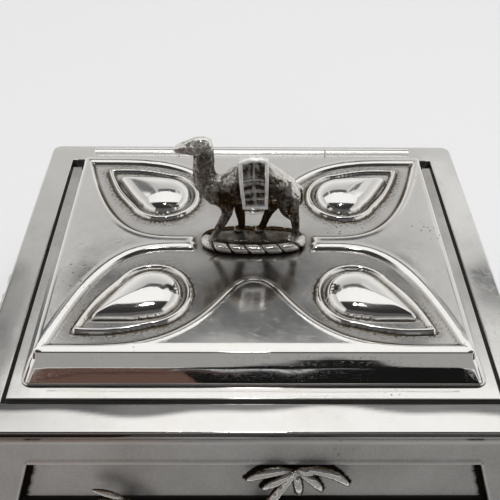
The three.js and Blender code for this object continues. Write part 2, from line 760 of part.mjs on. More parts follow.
// Hinge: two fixed knuckles on the rim, one on the lid, one pin
const lying = (radius, x0, x1, sides = 16) =>
  new THREE.CylinderGeometry(radius, radius, x1 - x0, sides)
    .rotateZ(Math.PI / 2)
    .translate((x0 + x1) / 2, hingeY, hingeZ);

function knuckle(x0, x1, leaf) {
  const barrel = join([lying(hingeRadius, x0, x1), leaf]);
  return cut(barrel, [lying(pinRadius + pinFit, x0 - beyond, x1 + beyond, 12)]);
}

const lidKnuckleHalf = (lidKnuckleShare * hingeLength) / 2;
const lidLeaf = block(
  -lidKnuckleHalf,
  lidKnuckleHalf,
  hingeY - leafReach,
  hingeY,
  flangeTop,
  flangeTop + leafThick,
);
addPiece(lid, "lid_knuckle", knuckle(-lidKnuckleHalf, lidKnuckleHalf, lidLeaf), polishedSilver);
for (const [name, s] of [["left", -1], ["right", 1]]) {
  const ends = [s * (lidKnuckleHalf + knuckleGap), (s * hingeLength) / 2].sort((a, b) => a - b);
  const foot = block(...ends, hingeY, hingeY + footReach, rimTop, rimTop + leafThick);
  addPiece(box, `${name}_knuckle`, knuckle(...ends, foot), polishedSilver);
}
addPiece(box, "hinge_pin", lying(pinRadius, -hingeLength / 2, hingeLength / 2, 12), fittingBrass);

export default box;
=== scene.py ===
import math
import bmesh
import bpy
import numpy as np
from mathutils import Matrix, Vector, noise


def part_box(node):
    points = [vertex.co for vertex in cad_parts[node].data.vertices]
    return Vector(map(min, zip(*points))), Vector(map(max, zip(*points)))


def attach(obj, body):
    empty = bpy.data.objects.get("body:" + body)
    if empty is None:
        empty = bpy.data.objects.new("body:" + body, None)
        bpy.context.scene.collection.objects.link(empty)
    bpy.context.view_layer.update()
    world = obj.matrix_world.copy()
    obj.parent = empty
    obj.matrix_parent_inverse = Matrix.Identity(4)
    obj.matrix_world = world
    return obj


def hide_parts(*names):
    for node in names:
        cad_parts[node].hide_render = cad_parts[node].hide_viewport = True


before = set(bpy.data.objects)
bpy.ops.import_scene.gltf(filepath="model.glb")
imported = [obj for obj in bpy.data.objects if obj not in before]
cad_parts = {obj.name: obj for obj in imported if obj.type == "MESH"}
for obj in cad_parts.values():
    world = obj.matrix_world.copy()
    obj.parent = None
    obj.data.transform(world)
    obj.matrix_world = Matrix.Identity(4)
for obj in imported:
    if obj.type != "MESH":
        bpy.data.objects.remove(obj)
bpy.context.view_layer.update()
mm = 0.001
print("frame loaded:", len(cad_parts), "nodes")


def nodeTree(name):
    material = bpy.data.materials.new(name)
    material.use_nodes = True
    tree = material.node_tree
    return material, tree, tree.nodes["Principled BSDF"]


def addNode(tree, kind, inputs=None, **settings):
    node = tree.nodes.new(kind)
    for key, value in settings.items():
        setattr(node, key, value)
    for key, value in (inputs or {}).items():
        if isinstance(value, bpy.types.NodeSocket):
            tree.links.new(value, node.inputs[key])
        else:
            node.inputs[key].default_value = value
    return node


def rgb(r, g, b):
    return (r, g, b, 1)


def mixColour(tree, factor, a, b):
    return addNode(tree, "ShaderNodeMix", data_type="RGBA", inputs={0: factor, 6: a, 7: b}).outputs[2]


def math2(tree, operation, a, b=0.0):
    return addNode(tree, "ShaderNodeMath", operation=operation, inputs={0: a, 1: b}).outputs[0]


def spanOf(tree, value, low, high, toLow=0.0, toHigh=1.0):
    node = addNode(tree, "ShaderNodeMapRange", clamp=True, inputs={
        "Value": value, "From Min": low, "From Max": high, "To Min": toLow, "To Max": toHigh})
    return node.outputs[0]


# handled silver: fine scratches, pits and cloudy tarnish as masks, slow waves and scratches as height
def makeWearGroup():
    tree = bpy.data.node_groups.new("silverWear", "ShaderNodeTree")
    for label, size in (("Cloud Size", 90), ("Wave Size", 55)):
        tree.interface.new_socket(label, in_out="INPUT", socket_type="NodeSocketFloat").default_value = size
    for label in ("Scratches", "Pits", "Clouds", "Waves", "Grain"):
        tree.interface.new_socket(label, in_out="OUTPUT", socket_type="NodeSocketFloat")
    source = addNode(tree, "NodeGroupInput")
    place = addNode(tree, "ShaderNodeTexCoord").outputs["Object"]
    scratches = None
    for angle, stretch, size in ((0.35, 16, 2600), (1.9, 14, 3100), (-0.6, 20, 2200)):
        turned = addNode(tree, "ShaderNodeMapping", vector_type="TEXTURE", inputs={
            "Vector": place, "Rotation": (0.3 * angle, 0.2, angle), "Scale": (1, 1 / stretch, 1 / stretch)})
        streak = addNode(tree, "ShaderNodeTexNoise", inputs={
            "Vector": turned.outputs[0], "Scale": size / stretch, "Detail": 3.0, "Roughness": 0.6})
        line = spanOf(tree, streak.outputs["Fac"], 0.62, 0.72)
        scratches = line if scratches is None else math2(tree, "MAXIMUM", scratches, line)
    pits = addNode(tree, "ShaderNodeTexVoronoi", inputs={"Vector": place, "Scale": 900.0, "Randomness": 1.0})
    pitDot = spanOf(tree, pits.outputs["Distance"], 0.12, 0.24, 1.0, 0.0)
    pitPatch = addNode(tree, "ShaderNodeTexNoise", inputs={"Vector": place, "Scale": 60.0, "Detail": 2.0})
    pitMask = math2(tree, "MULTIPLY", pitDot, spanOf(tree, pitPatch.outputs["Fac"], 0.61, 0.70))
    clouds = addNode(tree, "ShaderNodeTexNoise", inputs={
        "Vector": place, "Scale": source.outputs["Cloud Size"], "Detail": 5.0, "Roughness": 0.6})
    waves = addNode(tree, "ShaderNodeTexNoise", inputs={
        "Vector": place, "Scale": source.outputs["Wave Size"], "Detail": 1.0, "Roughness": 0.4})
    grain = addNode(tree, "ShaderNodeTexNoise", inputs={"Vector": place, "Scale": 2600.0, "Detail": 2.0})
    addNode(tree, "NodeGroupOutput", inputs={
        "Scratches": scratches, "Pits": pitMask, "Grain": spanOf(tree, grain.outputs["Fac"], 0.3, 0.7),
        "Clouds": spanOf(tree, clouds.outputs["Fac"], 0.35, 0.7), "Waves": waves.outputs["Fac"]})
    return tree


wearGroup = makeWearGroup()

# what most finishes share, then what each has of its own
bareSilver = {
    "bright": (0.92, 0.91, 0.89), "dull": (0.81, 0.78, 0.735), "metal": 1.0, "rough": (0.07, 0.16), "stainRough": 0.2,
    "scratch": 0.012, "wave": 0.3, "waveSize": 55, "cloud": 90, "blotch": (0.8, 1.2), "grain": 0.1, "pits": 0.6,
    "dullShare": 0.55, "scratchRough": 0.025, "waveDepth": 0.0009, "stainAndShadeTint": (0.3, 0.25, 0.2),
}
silverLooks = {
    "polishedSilver": {"stain": (0.11, 0.092, 0.07)},
    "rimSilver": {
        "stain": (0.13, 0.13, 0.13), "stainRough": 0.08, "blotch": (0.97, 1.03), "grain": 0.01, "pits": 0.25},
    "mirrorSilver": {
        "dull": (0.84, 0.82, 0.79), "stain": (0.09, 0.08, 0.065), "rough": (0.03, 0.06), "scratch": 0.006,
        "blotch": (0.95, 1.05), "grain": 0.02, "pits": 0.0},
    "wallSilver": {
        "bright": (0.95, 0.935, 0.91), "dull": (0.75, 0.73, 0.70), "stain": (0.02, 0.018, 0.016),
        "rough": (0.46, 0.56), "stainRough": 0.1, "scratch": 0.03, "waveSize": 40, "cloud": 60,
        "blotch": (0.9, 1.1), "grain": 0.2},
    "castSilver": {
        "bright": (0.88, 0.86, 0.82), "dull": (0.66, 0.62, 0.57), "stain": (0.04, 0.025, 0.012), "metal": 0.88,
        "rough": (0.12, 0.22), "stainRough": 0.1, "scratch": 0.02, "wave": 0.2, "waveSize": 400, "cloud": 300,
        "blotch": (0.8, 1.12), "grain": 0.07},
    "frostedSilver": {
        "bright": (0.95, 0.94, 0.92), "dull": (0.88, 0.865, 0.84), "stain": (0.035, 0.026, 0.018), "metal": 0.62,
        "rough": (0.22, 0.32), "stainRough": 0.0, "scratch": 0.01, "wave": 0.1, "waveSize": 100, "cloud": 200,
        "blotch": (0.9, 1.1), "pits": 0.0},
}


def makeSilver(name):
    look = bareSilver | silverLooks[name]
    material, tree, shader = nodeTree(name)
    wear = addNode(tree, "ShaderNodeGroup", node_tree=wearGroup,
                   inputs={"Cloud Size": look["cloud"], "Wave Size": look["waveSize"]}).outputs
    patina = addNode(tree, "ShaderNodeAttribute", attribute_name="patina").outputs["Fac"]
    cloudShare = math2(tree, "MULTIPLY", wear["Clouds"], look["dullShare"])
    colour = mixColour(tree, cloudShare, rgb(*look["bright"]), rgb(*look["dull"]))
    grain = spanOf(tree, wear["Grain"], 0.0, 1.0, 1 - look["grain"], 1 + look["grain"])
    uneven = math2(tree, "MULTIPLY", spanOf(tree, wear["Clouds"], 0.0, 1.0, *look["blotch"]), grain)
    # tarnish colour; where pieces write painted shade or shadow into the attribute it paints that too
    stain = math2(tree, "MINIMUM", math2(tree, "MULTIPLY", patina, uneven), 1.0)
    colour = mixColour(tree, stain, colour, rgb(*look["stain"]))
    pitShade = math2(tree, "MULTIPLY", wear["Pits"], look["pits"])
    colour = mixColour(tree, pitShade, colour, rgb(*look["stain"]))
    tree.links.new(colour, shader.inputs["Base Color"])
    dirt = math2(tree, "MINIMUM", patina, 1.0)
    tree.links.new(mixColour(tree, dirt, rgb(1, 1, 1), rgb(*look["stainAndShadeTint"])), shader.inputs["Specular Tint"])
    shader.inputs["Metallic"].default_value = look["metal"]
    rough = math2(tree, "ADD", spanOf(tree, wear["Clouds"], 0.0, 1.0, *look["rough"]),
                  math2(tree, "MULTIPLY", wear["Scratches"], look["scratchRough"]))
    rough = math2(tree, "ADD", rough, math2(tree, "MULTIPLY", stain, look["stainRough"]))
    tree.links.new(rough, shader.inputs["Roughness"])
    wavy = addNode(tree, "ShaderNodeBump", inputs={
        "Height": wear["Waves"], "Strength": look["wave"], "Distance": look["waveDepth"]})
    cuts = math2(tree, "ADD", math2(tree, "MULTIPLY", wear["Scratches"], -0.35),
                 math2(tree, "MULTIPLY", pitShade, -1.6))
    fine = addNode(tree, "ShaderNodeBump", inputs={
        "Height": cuts, "Strength": 0.5, "Distance": look["scratch"] * mm, "Normal": wavy.outputs[0]})
    tree.links.new(fine.outputs[0], shader.inputs["Normal"])
    return material


polishedSilver = makeSilver("polishedSilver")
rimSilver = makeSilver("rimSilver")
mirrorSilver = makeSilver("mirrorSilver")
wallSilver = makeSilver("wallSilver")
castSilver = makeSilver("castSilver")
frostedSilver = makeSilver("frostedSilver")

woodLook = {
    "pale": (0.30, 0.165, 0.085), "dark": (0.13, 0.062, 0.03), "black": (0.006, 0.005, 0.004), "rings": 240,
    "stretch": 9, "rough": (0.5, 0.7), "grime": (0.0335, 0.0355),  # painted shade: the wood goes black from this height to that, for the dark gap under the rim
}


def makeWood(name, along):
    material, tree, shader = nodeTree(name)
    place = addNode(tree, "ShaderNodeTexCoord").outputs["Object"]
    scale = [woodLook["stretch"]] * 3
    scale[along] = 1
    drawn = addNode(tree, "ShaderNodeMapping", inputs={"Vector": place, "Scale": scale}).outputs[0]
    bend = addNode(tree, "ShaderNodeTexNoise", inputs={"Vector": drawn, "Scale": 14.0, "Detail": 3.0})
    grain = addNode(tree, "ShaderNodeTexNoise", inputs={
        "Vector": drawn, "Scale": woodLook["rings"] / woodLook["stretch"], "Detail": 6.0, "Roughness": 0.65})
    figure = math2(tree, "ADD", math2(tree, "MULTIPLY", bend.outputs["Fac"], 5.0),
                   math2(tree, "MULTIPLY", grain.outputs["Fac"], 1.4))
    band = math2(tree, "FRACT", math2(tree, "MULTIPLY", figure, 1.8))
    tone = math2(tree, "ADD", math2(tree, "MULTIPLY", band, 0.55),
                 math2(tree, "MULTIPLY", grain.outputs["Fac"], 0.6))
    colour = mixColour(tree, spanOf(tree, tone, 0.2, 0.95), rgb(*woodLook["pale"]), rgb(*woodLook["dark"]))
    # painted shade: black over the top of the boards, where they sit in the dark gap under the rim
    height = addNode(tree, "ShaderNodeSeparateXYZ", inputs={0: place}).outputs["Z"]
    colour = mixColour(tree, spanOf(tree, height, *woodLook["grime"]), colour, rgb(*woodLook["black"]))
    tree.links.new(colour, shader.inputs["Base Color"])
    tree.links.new(spanOf(tree, tone, 0.0, 1.0, *woodLook["rough"]), shader.inputs["Roughness"])
    bump = addNode(tree, "ShaderNodeBump", inputs={
        "Height": grain.outputs["Fac"], "Strength": 0.35, "Distance": 0.0002})
    tree.links.new(bump.outputs[0], shader.inputs["Normal"])
    return material


cedarAlongX = makeWood("cedarAlongX", 0)
cedarAlongY = makeWood("cedarAlongY", 1)


brassLook = {"bright": (0.72, 0.55, 0.27), "dull": (0.42, 0.30, 0.14), "rough": (0.25, 0.45), "cloud": 300}


def makeBrass():
    material, tree, shader = nodeTree("fittingBrass")
    wear = addNode(tree, "ShaderNodeGroup", node_tree=wearGroup, inputs={"Cloud Size": brassLook["cloud"]}).outputs
    colour = mixColour(tree, wear["Clouds"], rgb(*brassLook["bright"]), rgb(*brassLook["dull"]))
    tree.links.new(colour, shader.inputs["Base Color"])
    shader.inputs["Metallic"].default_value = 1.0
    tree.links.new(spanOf(tree, wear["Clouds"], 0.0, 1.0, *brassLook["rough"]), shader.inputs["Roughness"])
    bump = addNode(tree, "ShaderNodeBump", inputs={
        "Height": wear["Scratches"], "Strength": 0.3, "Distance": 0.00003})
    tree.links.new(bump.outputs[0], shader.inputs["Normal"])
    return material


fittingBrass = makeBrass()
print("materials made")


def makePiece(name, bm, body, material, node=None, crease=None, hard=()):
    bmesh.ops.scale(bm, vec=(mm, mm, mm), verts=bm.verts)
    if crease:
        for e in bm.edges:
            e.smooth = e.calc_face_angle(0) < crease and e not in hard
    mesh = bpy.data.meshes.new(name)
    bm.to_mesh(mesh)
    bm.free()
    mesh.materials.append(material)
    mesh.polygons.foreach_set("use_smooth", np.ones(len(mesh.polygons), bool))
    piece = bpy.data.objects.new(name, mesh)
    bpy.context.scene.collection.objects.link(piece)
    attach(piece, body)
    if node:
        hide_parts(node)
    return piece


def keepFlats(piece):
    piece.modifiers.new("evenNormals", "WEIGHTED_NORMAL").keep_sharp = True
    return piece


def coordsOf(mesh):
    flat = np.empty(len(mesh.vertices) * 3)
    mesh.vertices.foreach_get("co", flat)
    return flat.reshape(-1, 3)


def normalsOf(mesh):
    flat = np.empty(len(mesh.vertices) * 3)
    mesh.vertex_normals.foreach_get("vector", flat)
    return flat.reshape(-1, 3)


# tarnish gathers where the surface is hollow; lift and extra add to it, and on some pieces extra also paints shade,
# shadow and highlights
def writePatinaAndShade(mesh, gain, lift=0.0, rounds=3, extra=0.0):
    co = coordsOf(mesh)
    edges = np.empty(len(mesh.edges) * 2, np.int32)
    mesh.edges.foreach_get("vertices", edges)
    a, b = edges.reshape(-1, 2).T
    normals = normalsOf(mesh)
    run = co[b] - co[a]
    run /= np.maximum(np.linalg.norm(run, axis=1), 1e-9)[:, None]
    count = np.maximum(np.bincount(a, minlength=len(co)) + np.bincount(b, minlength=len(co)), 1)
    hollow = np.bincount(a, (normals[a] * run).sum(1), len(co))
    hollow = (hollow - np.bincount(b, (normals[b] * run).sum(1), len(co))) / count
    for _ in range(rounds):
        near = np.bincount(a, hollow[b], len(co)) + np.bincount(b, hollow[a], len(co))
        hollow = 0.5 * hollow + 0.5 * near / count
    value = lift + gain * hollow + extra
    layer = mesh.attributes.new("patina", "FLOAT", "POINT")
    layer.data.foreach_set("value", np.clip(value, 0, 1.5).astype(np.float32))


def smoothStep(low, high, value):
    t = np.clip((value - low) / (high - low), 0, 1)
    return t * t * (3 - 2 * t)


# grid whose lines stand at the given stops
def stoppedGrid(xStops, yStops):
    bm = bmesh.new()
    bmesh.ops.create_grid(bm, x_segments=len(xStops) - 1, y_segments=len(yStops) - 1, size=1)
    xOld = np.linspace(-1, 1, len(xStops))
    yOld = np.linspace(-1, 1, len(yStops))
    for v in bm.verts:
        v.co.x = np.interp(v.co.x, xOld, xStops)
        v.co.y = np.interp(v.co.y, yOld, yStops)
    return bm


def moveVerts(bm, place):
    co = np.array([v.co for v in bm.verts])
    for v, at in zip(bm.verts, place(co)):
        v.co = at


def vertsIn(made):
    return [v for v in made["geom"] if isinstance(v, bmesh.types.BMVert)]


def uprightEdges(bm):
    return [e for e in bm.edges if abs(e.verts[0].co.z - e.verts[1].co.z) > 1]


def roundOff(bm, edges, width, segments=3, clamp=False):
    bmesh.ops.bevel(bm, geom=edges, offset=width, affect="EDGES", segments=segments, profile=0.5, material=-1,
                    clamp_overlap=clamp)


# loops of vertices bridged one after the other and closed at the ends
def bridge(bm, loops, closed=False):
    def edgesOf(loop):
        return [e for e in {e for v in loop for e in v.link_edges} if e.other_vert(e.verts[0]) in loop
                and e.verts[0] in loop]
    edges = [edgesOf(loop) for loop in loops]
    pairs = zip(edges, edges[1:] + edges[:1]) if closed else zip(edges, edges[1:])
    for first, second in pairs:
        bmesh.ops.bridge_loops(bm, edges=first + second)
    if not closed:
        bmesh.ops.edgeloop_fill(bm, edges=edges[0])
        bmesh.ops.edgeloop_fill(bm, edges=edges[-1])


def ring(bm, sides, matrix):
    return bmesh.ops.create_circle(bm, segments=sides, radius=1, matrix=matrix)["verts"]


def sweep(bm, matrices, sides, closed=False):
    bridge(bm, [ring(bm, sides, matrix) for matrix in matrices], closed)


def ringMatrix(at, along, sideAxis, halfSide, halfOut):
    along = along.normalized()
    side = (sideAxis - along * sideAxis.dot(along)).normalized()
    out = along.cross(side)
    turn = Matrix((side * halfSide, out * halfOut, along)).transposed().to_4x4()
    return Matrix.Translation(at) @ turn


# smooth line through points, as stations with directions
def lineThrough(points, steps):
    pts = [Vector(p) for p in points]
    ends = [pts[0] * 2 - pts[1], *pts, pts[-1] * 2 - pts[-2]]
    stations = []
    for i in range(steps + 1):
        t = i / steps * (len(pts) - 1)
        k = min(int(t), len(pts) - 2)
        f = t - k
        a, b, c, d = ends[k:k + 4]
        bend, twist = 2 * a - 5 * b + 4 * c - d, 3 * b - a - 3 * c + d
        stations.append(0.5 * (2 * b + (c - a) * f + bend * f * f + twist * f ** 3))
    result = []
    for i, at in enumerate(stations):
        before = stations[max(i - 1, 0)]
        after = stations[min(i + 1, steps)]
        result.append((at, after - before))
    return result


# a CAD node's own mesh with its sharp edges rounded over
def softened(node, width, weld=0.09):
    bm = bmesh.new()
    bm.from_mesh(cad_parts[node].data)
    bmesh.ops.scale(bm, vec=(1 / mm,) * 3, verts=bm.verts)
    bmesh.ops.remove_doubles(bm, verts=bm.verts, dist=weld)
    bmesh.ops.dissolve_limit(bm, angle_limit=math.radians(1), verts=bm.verts, edges=bm.edges)
    sharp = [e for e in bm.edges if e.is_manifold and e.calc_face_angle() > math.radians(40)]
    roundOff(bm, sharp, width, clamp=True)
    return bm


lidTop = {
    "sheet": 0.8, "thick": 1.6, "corner": 1.4, "mirror": 0.9, "backTight": 1.2,
    "edge": ((0.2, 4), (1.5, 20.5), (0.2, 61)), "sideEdge": ((0.2, 4), (0.7, 24), (0.15, 62)),  # run and tilt at its end
    "gridStep": 0.25, "underStep": 0.5, "underBorder": 1.3,
    "sunk": 0.8, "farRun": 1.3, "farPower": 2.2, "nearRun": 1.1, "lip": 0.04, "petalBorder": 1.6,
    "sideApex": (13, 1), "frontApex": (3, 10.5), "sidePower": 3.5, "frontPower": 4,
    "bossInset": (20, 14.2), "bossTipInset": (9.0, 7.9), "bossRadius": 5.6, "bossHeight": 3, "crest": 0.03,
    "ridgeTipInset": (7.2, 5.6), "ridgeRadius": 7.1, "ridgeWidth": 1.4, "ridgeHeight": 1.0,
    "foot": 0.1, "bulge": 0.05,
    "hollowDirt": 6.0, "clean": -0.05, "plinthDirt": 0.7, "groundDirt": 0.25, "ringDirt": 0.8, "creaseDirt": 0.45,
    "footClean": 2,
}
lowTop, highTop = (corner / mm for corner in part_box("lid_top"))
plateauHalf = np.array([(highTop.x - lowTop.x) / 2, (highTop.y - lowTop.y) / 2])
plateauY = (lowTop.y + highTop.y) / 2
capBottom = lowTop.z
capThick = lidTop["thick"]
plateauTop = capBottom + capThick
sunkFloor = plateauTop - lidTop["sunk"]


# distance to the edge of a drop, negative inside it
def dropDistance(x, y, middle, tip, radius, bulge):
    axis = tip - middle
    length = np.linalg.norm(axis)
    axis = axis / length
    along = (x - middle[0]) * axis[0] + (y - middle[1]) * axis[1]
    across = np.abs((x - middle[0]) * axis[1] - (y - middle[1]) * axis[0])
    lean = radius / length
    upright = math.sqrt(1 - lean * lean)
    flank = upright * length
    k = -lean * across + upright * along
    cap = np.hypot(along, across) - radius
    point = np.hypot(along - length, across)
    side = upright * across + lean * along - radius
    side = side - bulge * length * np.sin(np.pi * np.clip(k / flank, 0, 1))
    return np.where(k < 0, cap, np.where(k > flank, point, side))


# share of the way from the heart of a drop to its edge
def dropShare(x, y, middle, tip, radius, bulge, crest):
    axis = tip - middle
    length = np.linalg.norm(axis)
    heading = math.atan2(axis[1], axis[0])
    reach = np.hypot(x - middle[0], y - middle[1])
    turn = np.arctan2(y - middle[1], x - middle[0]) - heading
    turn = np.abs((turn + np.pi) % (2 * np.pi) - np.pi)
    turn = np.sqrt(turn * turn + crest * crest)
    opening = math.acos(radius / length)
    edge = np.where(turn < opening, radius / np.cos(np.minimum(turn, opening) - opening), radius)
    edge = edge * (1 + bulge * np.sin(np.pi * np.clip(turn / opening, 0, 1)))
    return reach / edge


def petalDistance(ax, ay, s):
    tip = plateauHalf - s["petalBorder"]
    fx, fy = s["frontApex"]
    sx, sy = s["sideApex"]
    u = np.clip(np.logaddexp(0, ax - fx) / (tip[0] - fx), 0, 1)
    front = fy + (tip[1] - fy) * (1 - (1 - u) ** s["frontPower"])
    frontSlope = (tip[1] - fy) * s["frontPower"] * (1 - u) ** (s["frontPower"] - 1) / (tip[0] - fx)
    w = np.clip((ax - sx) / (tip[0] - sx), 0, 1)
    side = sy + (tip[1] - sy) * w ** s["sidePower"]
    sideSlope = (tip[1] - sy) * s["sidePower"] * w ** (s["sidePower"] - 1) / (tip[0] - sx)
    toFront = (front - ay) / np.hypot(1, frontSlope / (1 + np.exp(fx - ax)))
    toSide = np.maximum((ay - side) / np.hypot(1, sideSlope), sx - ax)
    return toFront, np.minimum(toSide, tip[0] - ax)


# edges of a petal: rounded over with a sharp foot on the far side, a soft slope on the near side
def lidRelief(x, y):
    s = lidTop
    ax, ay = np.abs(x), np.abs(y)
    toFront, toSide = petalDistance(ax, ay, s)
    far = np.where(y > 0, toFront, toSide)
    near = np.where(y > 0, toSide, toFront)
    sunkFar = np.clip(far / s["farRun"], 0, 1) ** s["farPower"]
    height = -s["sunk"] * np.minimum(sunkFar, smoothStep(0, s["nearRun"], near))
    inside = np.minimum(toFront, toSide)
    height = height + s["lip"] * np.exp(-((inside + 0.35) / 0.35) ** 2)
    middle = plateauHalf - s["bossInset"]
    ridgeTip = plateauHalf - s["ridgeTipInset"]
    bossTip = plateauHalf - s["bossTipInset"]
    ridge = dropDistance(ax, ay, middle, ridgeTip, s["ridgeRadius"], s["bulge"])
    over = np.cos(0.5 * np.pi * np.clip(ridge / (s["ridgeWidth"] / 2), -1, 1))
    raised = -s["sunk"] + s["foot"] + (s["ridgeHeight"] - s["foot"]) * over
    height = np.where(ridge < s["ridgeWidth"] / 2, np.maximum(height, raised), height)
    share = dropShare(ax, ay, middle, bossTip, s["bossRadius"], s["bulge"], s["crest"])
    dome = -s["sunk"] + s["foot"] + s["bossHeight"] * np.sqrt(np.maximum(1 - share * share, 0))
    return np.where(share < 1, np.maximum(height, dome), height)


# edge in section, from the outline inwards: slope of the band, tight bend, gentle roll up to the flat
def edgeProfile(bends):
    run, drop, slope = np.zeros(1), np.zeros(1), 0.0
    share = np.linspace(0, 1, 9)[1:]
    for length, tilt in bends:
        end = math.tan(math.radians(tilt))
        drop = np.append(drop, drop[-1] + length * (slope * share + 0.5 * (end - slope) * share ** 2))
        run = np.append(run, run[-1] + length * share)
        slope = end
    last = (capThick - drop[-1]) / slope
    run = np.append(run, [run[-1] + 0.5 * last, run[-1] + last])
    drop = np.append(drop, [0.5 * (drop[-1] + capThick), capThick])
    return (run[-1] - run)[::-1], drop[::-1]


frontEdge = edgeProfile(lidTop["edge"])
sideEdge = edgeProfile(lidTop["sideEdge"])
edgeStops = np.unique(np.round(np.concatenate([frontEdge[0], sideEdge[0]]), 2))


# lines of a plate: even inside, closer together over the edge
def plateStops(half, step, nears):
    inner = half - nears[-1]
    flat = np.linspace(-inner, inner, max(2, round(2 * inner / step)) + 1)
    return np.concatenate([nears[:-1] - half, flat, half - nears[-2::-1]])


# bends the square corners of a grid round, ring by ring
def roundCorners(x, y, half, corner):
    dx, dy = half[0] - np.abs(x), half[1] - np.abs(y)
    near = np.minimum(dx, dy)
    far = np.maximum(dx, dy)
    inCorner = far < corner
    radius = corner - near
    angle = np.where(inCorner, 0.25 * np.pi * (corner - far) / np.maximum(radius, 1e-6), 0)
    along, aside = radius * np.cos(angle), radius * np.sin(angle)
    cx = half[0] - corner + np.where(dx < dy, along, aside)
    cy = half[1] - corner + np.where(dx < dy, aside, along)
    newX = np.where(inCorner, np.sign(x) * cx, x)
    newY = np.where(inCorner, np.sign(y) * cy, y)
    return newX, newY, near


def makeLidTop():
    s = lidTop
    top = stoppedGrid(*(plateStops(half, s["gridStep"], edgeStops) for half in plateauHalf))

    def shapeTop(co):
        x, y, near = roundCorners(co[:, 0], co[:, 1], plateauHalf, s["corner"])
        long = smoothStep(-1.5, 1.5, np.abs(y) - plateauHalf[1] - np.abs(x) + plateauHalf[0])
        front = long * (y < 0)
        tight = 1 + s["backTight"] * long * (y > 0)
        edge = front * np.interp(near, *frontEdge) + (1 - front) * np.interp(near * tight, *sideEdge)
        z = plateauTop + lidRelief(x, y) * smoothStep(0.6 + 0.9 * front, 1.6 + 1.1 * front, near) - edge
        return np.stack([x, y + plateauY, z], 1)

    moveVerts(top, shapeTop)
    topLoop = [e for e in top.edges if e.is_boundary]
    rows = np.linspace(0, s["corner"], 4)
    under = stoppedGrid(*(plateStops(half, s["underStep"], rows) for half in plateauHalf))

    def shapeUnder(co):
        x, y, near = roundCorners(co[:, 0], co[:, 1], plateauHalf, s["corner"])
        hollow = np.maximum(lidRelief(x, y) - s["sheet"] + capThick, 0)
        z = capBottom + hollow * smoothStep(s["underBorder"], s["underBorder"] + 0.6, near)
        return np.stack([x, y + plateauY, z], 1)

    moveVerts(under, shapeUnder)
    bmesh.ops.reverse_faces(under, faces=under.faces)
    underMesh = bpy.data.meshes.new("underside")
    under.to_mesh(underMesh)
    under.free()
    before = set(top.edges)
    top.from_mesh(underMesh)
    bpy.data.meshes.remove(underMesh)
    underLoop = [e for e in top.edges if e not in before and e.is_boundary]
    bmesh.ops.bridge_loops(top, edges=topLoop + underLoop)
    piece = makePiece("lidTop", top, "lid", polishedSilver, "lid_top",
                      crease=1.1, hard=topLoop)
    piece.data.materials.append(mirrorSilver)
    for face in piece.data.polygons:
        at = face.center / mm
        near = min(plateauHalf[0] - abs(at.x), plateauHalf[1] - abs(at.y - plateauY))
        face.material_index = int(near < s["mirror"])
    stainLidTop(piece.data)


# dirt round the plinth, on the sunk ground, beside the ridges and along the near edge of the petals
def stainLidTop(mesh):
    s = lidTop
    x, y, z = (coordsOf(mesh) / mm).T
    y = y - plateauY
    onTop = (z > plateauTop - s["sunk"] - 0.1) & (np.abs(x) < plateauHalf[0] - 1.5)
    plinthRound = np.exp(-(np.maximum(np.hypot(x / 2.4, y) - 3.6, 0) / 1.5) ** 2)
    toFront, toSide = petalDistance(np.abs(x), np.abs(y), s)
    inside = np.minimum(toFront, toSide)
    crease = np.exp(-((np.where(y > 0, toSide, toFront) - 0.8) / 0.3) ** 2) * (inside > 0.4)
    ground = smoothStep(0, 0.8, inside) * smoothStep(-0.3, -0.7, z - plateauTop)
    beside = dropDistance(np.abs(x), np.abs(y), plateauHalf - s["bossInset"], plateauHalf - s["ridgeTipInset"],
                          s["ridgeRadius"], s["bulge"]) - s["ridgeWidth"] / 2
    speck = np.array([noise.noise(Vector((2.2 * a, 2.2 * b, 0))) for a, b in zip(x, y)])
    patchy = 0.2 + 0.8 * smoothStep(-0.15, 0.35, speck)
    ridgeRing = smoothStep(2.2, 0, beside) * (beside > -0.1) * patchy * (ground > 0.1)
    foot = smoothStep(0.5, 0.2, z - z.min())
    stain = onTop * (s["plinthDirt"] * plinthRound + s["groundDirt"] * ground + s["ringDirt"] * ridgeRing
                     + s["creaseDirt"] * crease) - s["footClean"] * foot
    writePatinaAndShade(mesh, s["hollowDirt"], s["clean"], rounds=2, extra=stain)


makeLidTop()
print("lid top made")


lidBand = {
    "taper": 2.25, "thick": 1.0, "corner": 1.4, "tuck": 0.1, "rows": 23, "columns": 31, "footDirt": 0.8,
    "proud": ((0, 0.1, 0.72, 1), (-0.03, 0.17, 0.08, -0.03)),  # shares of the height, how far it stands out there
}


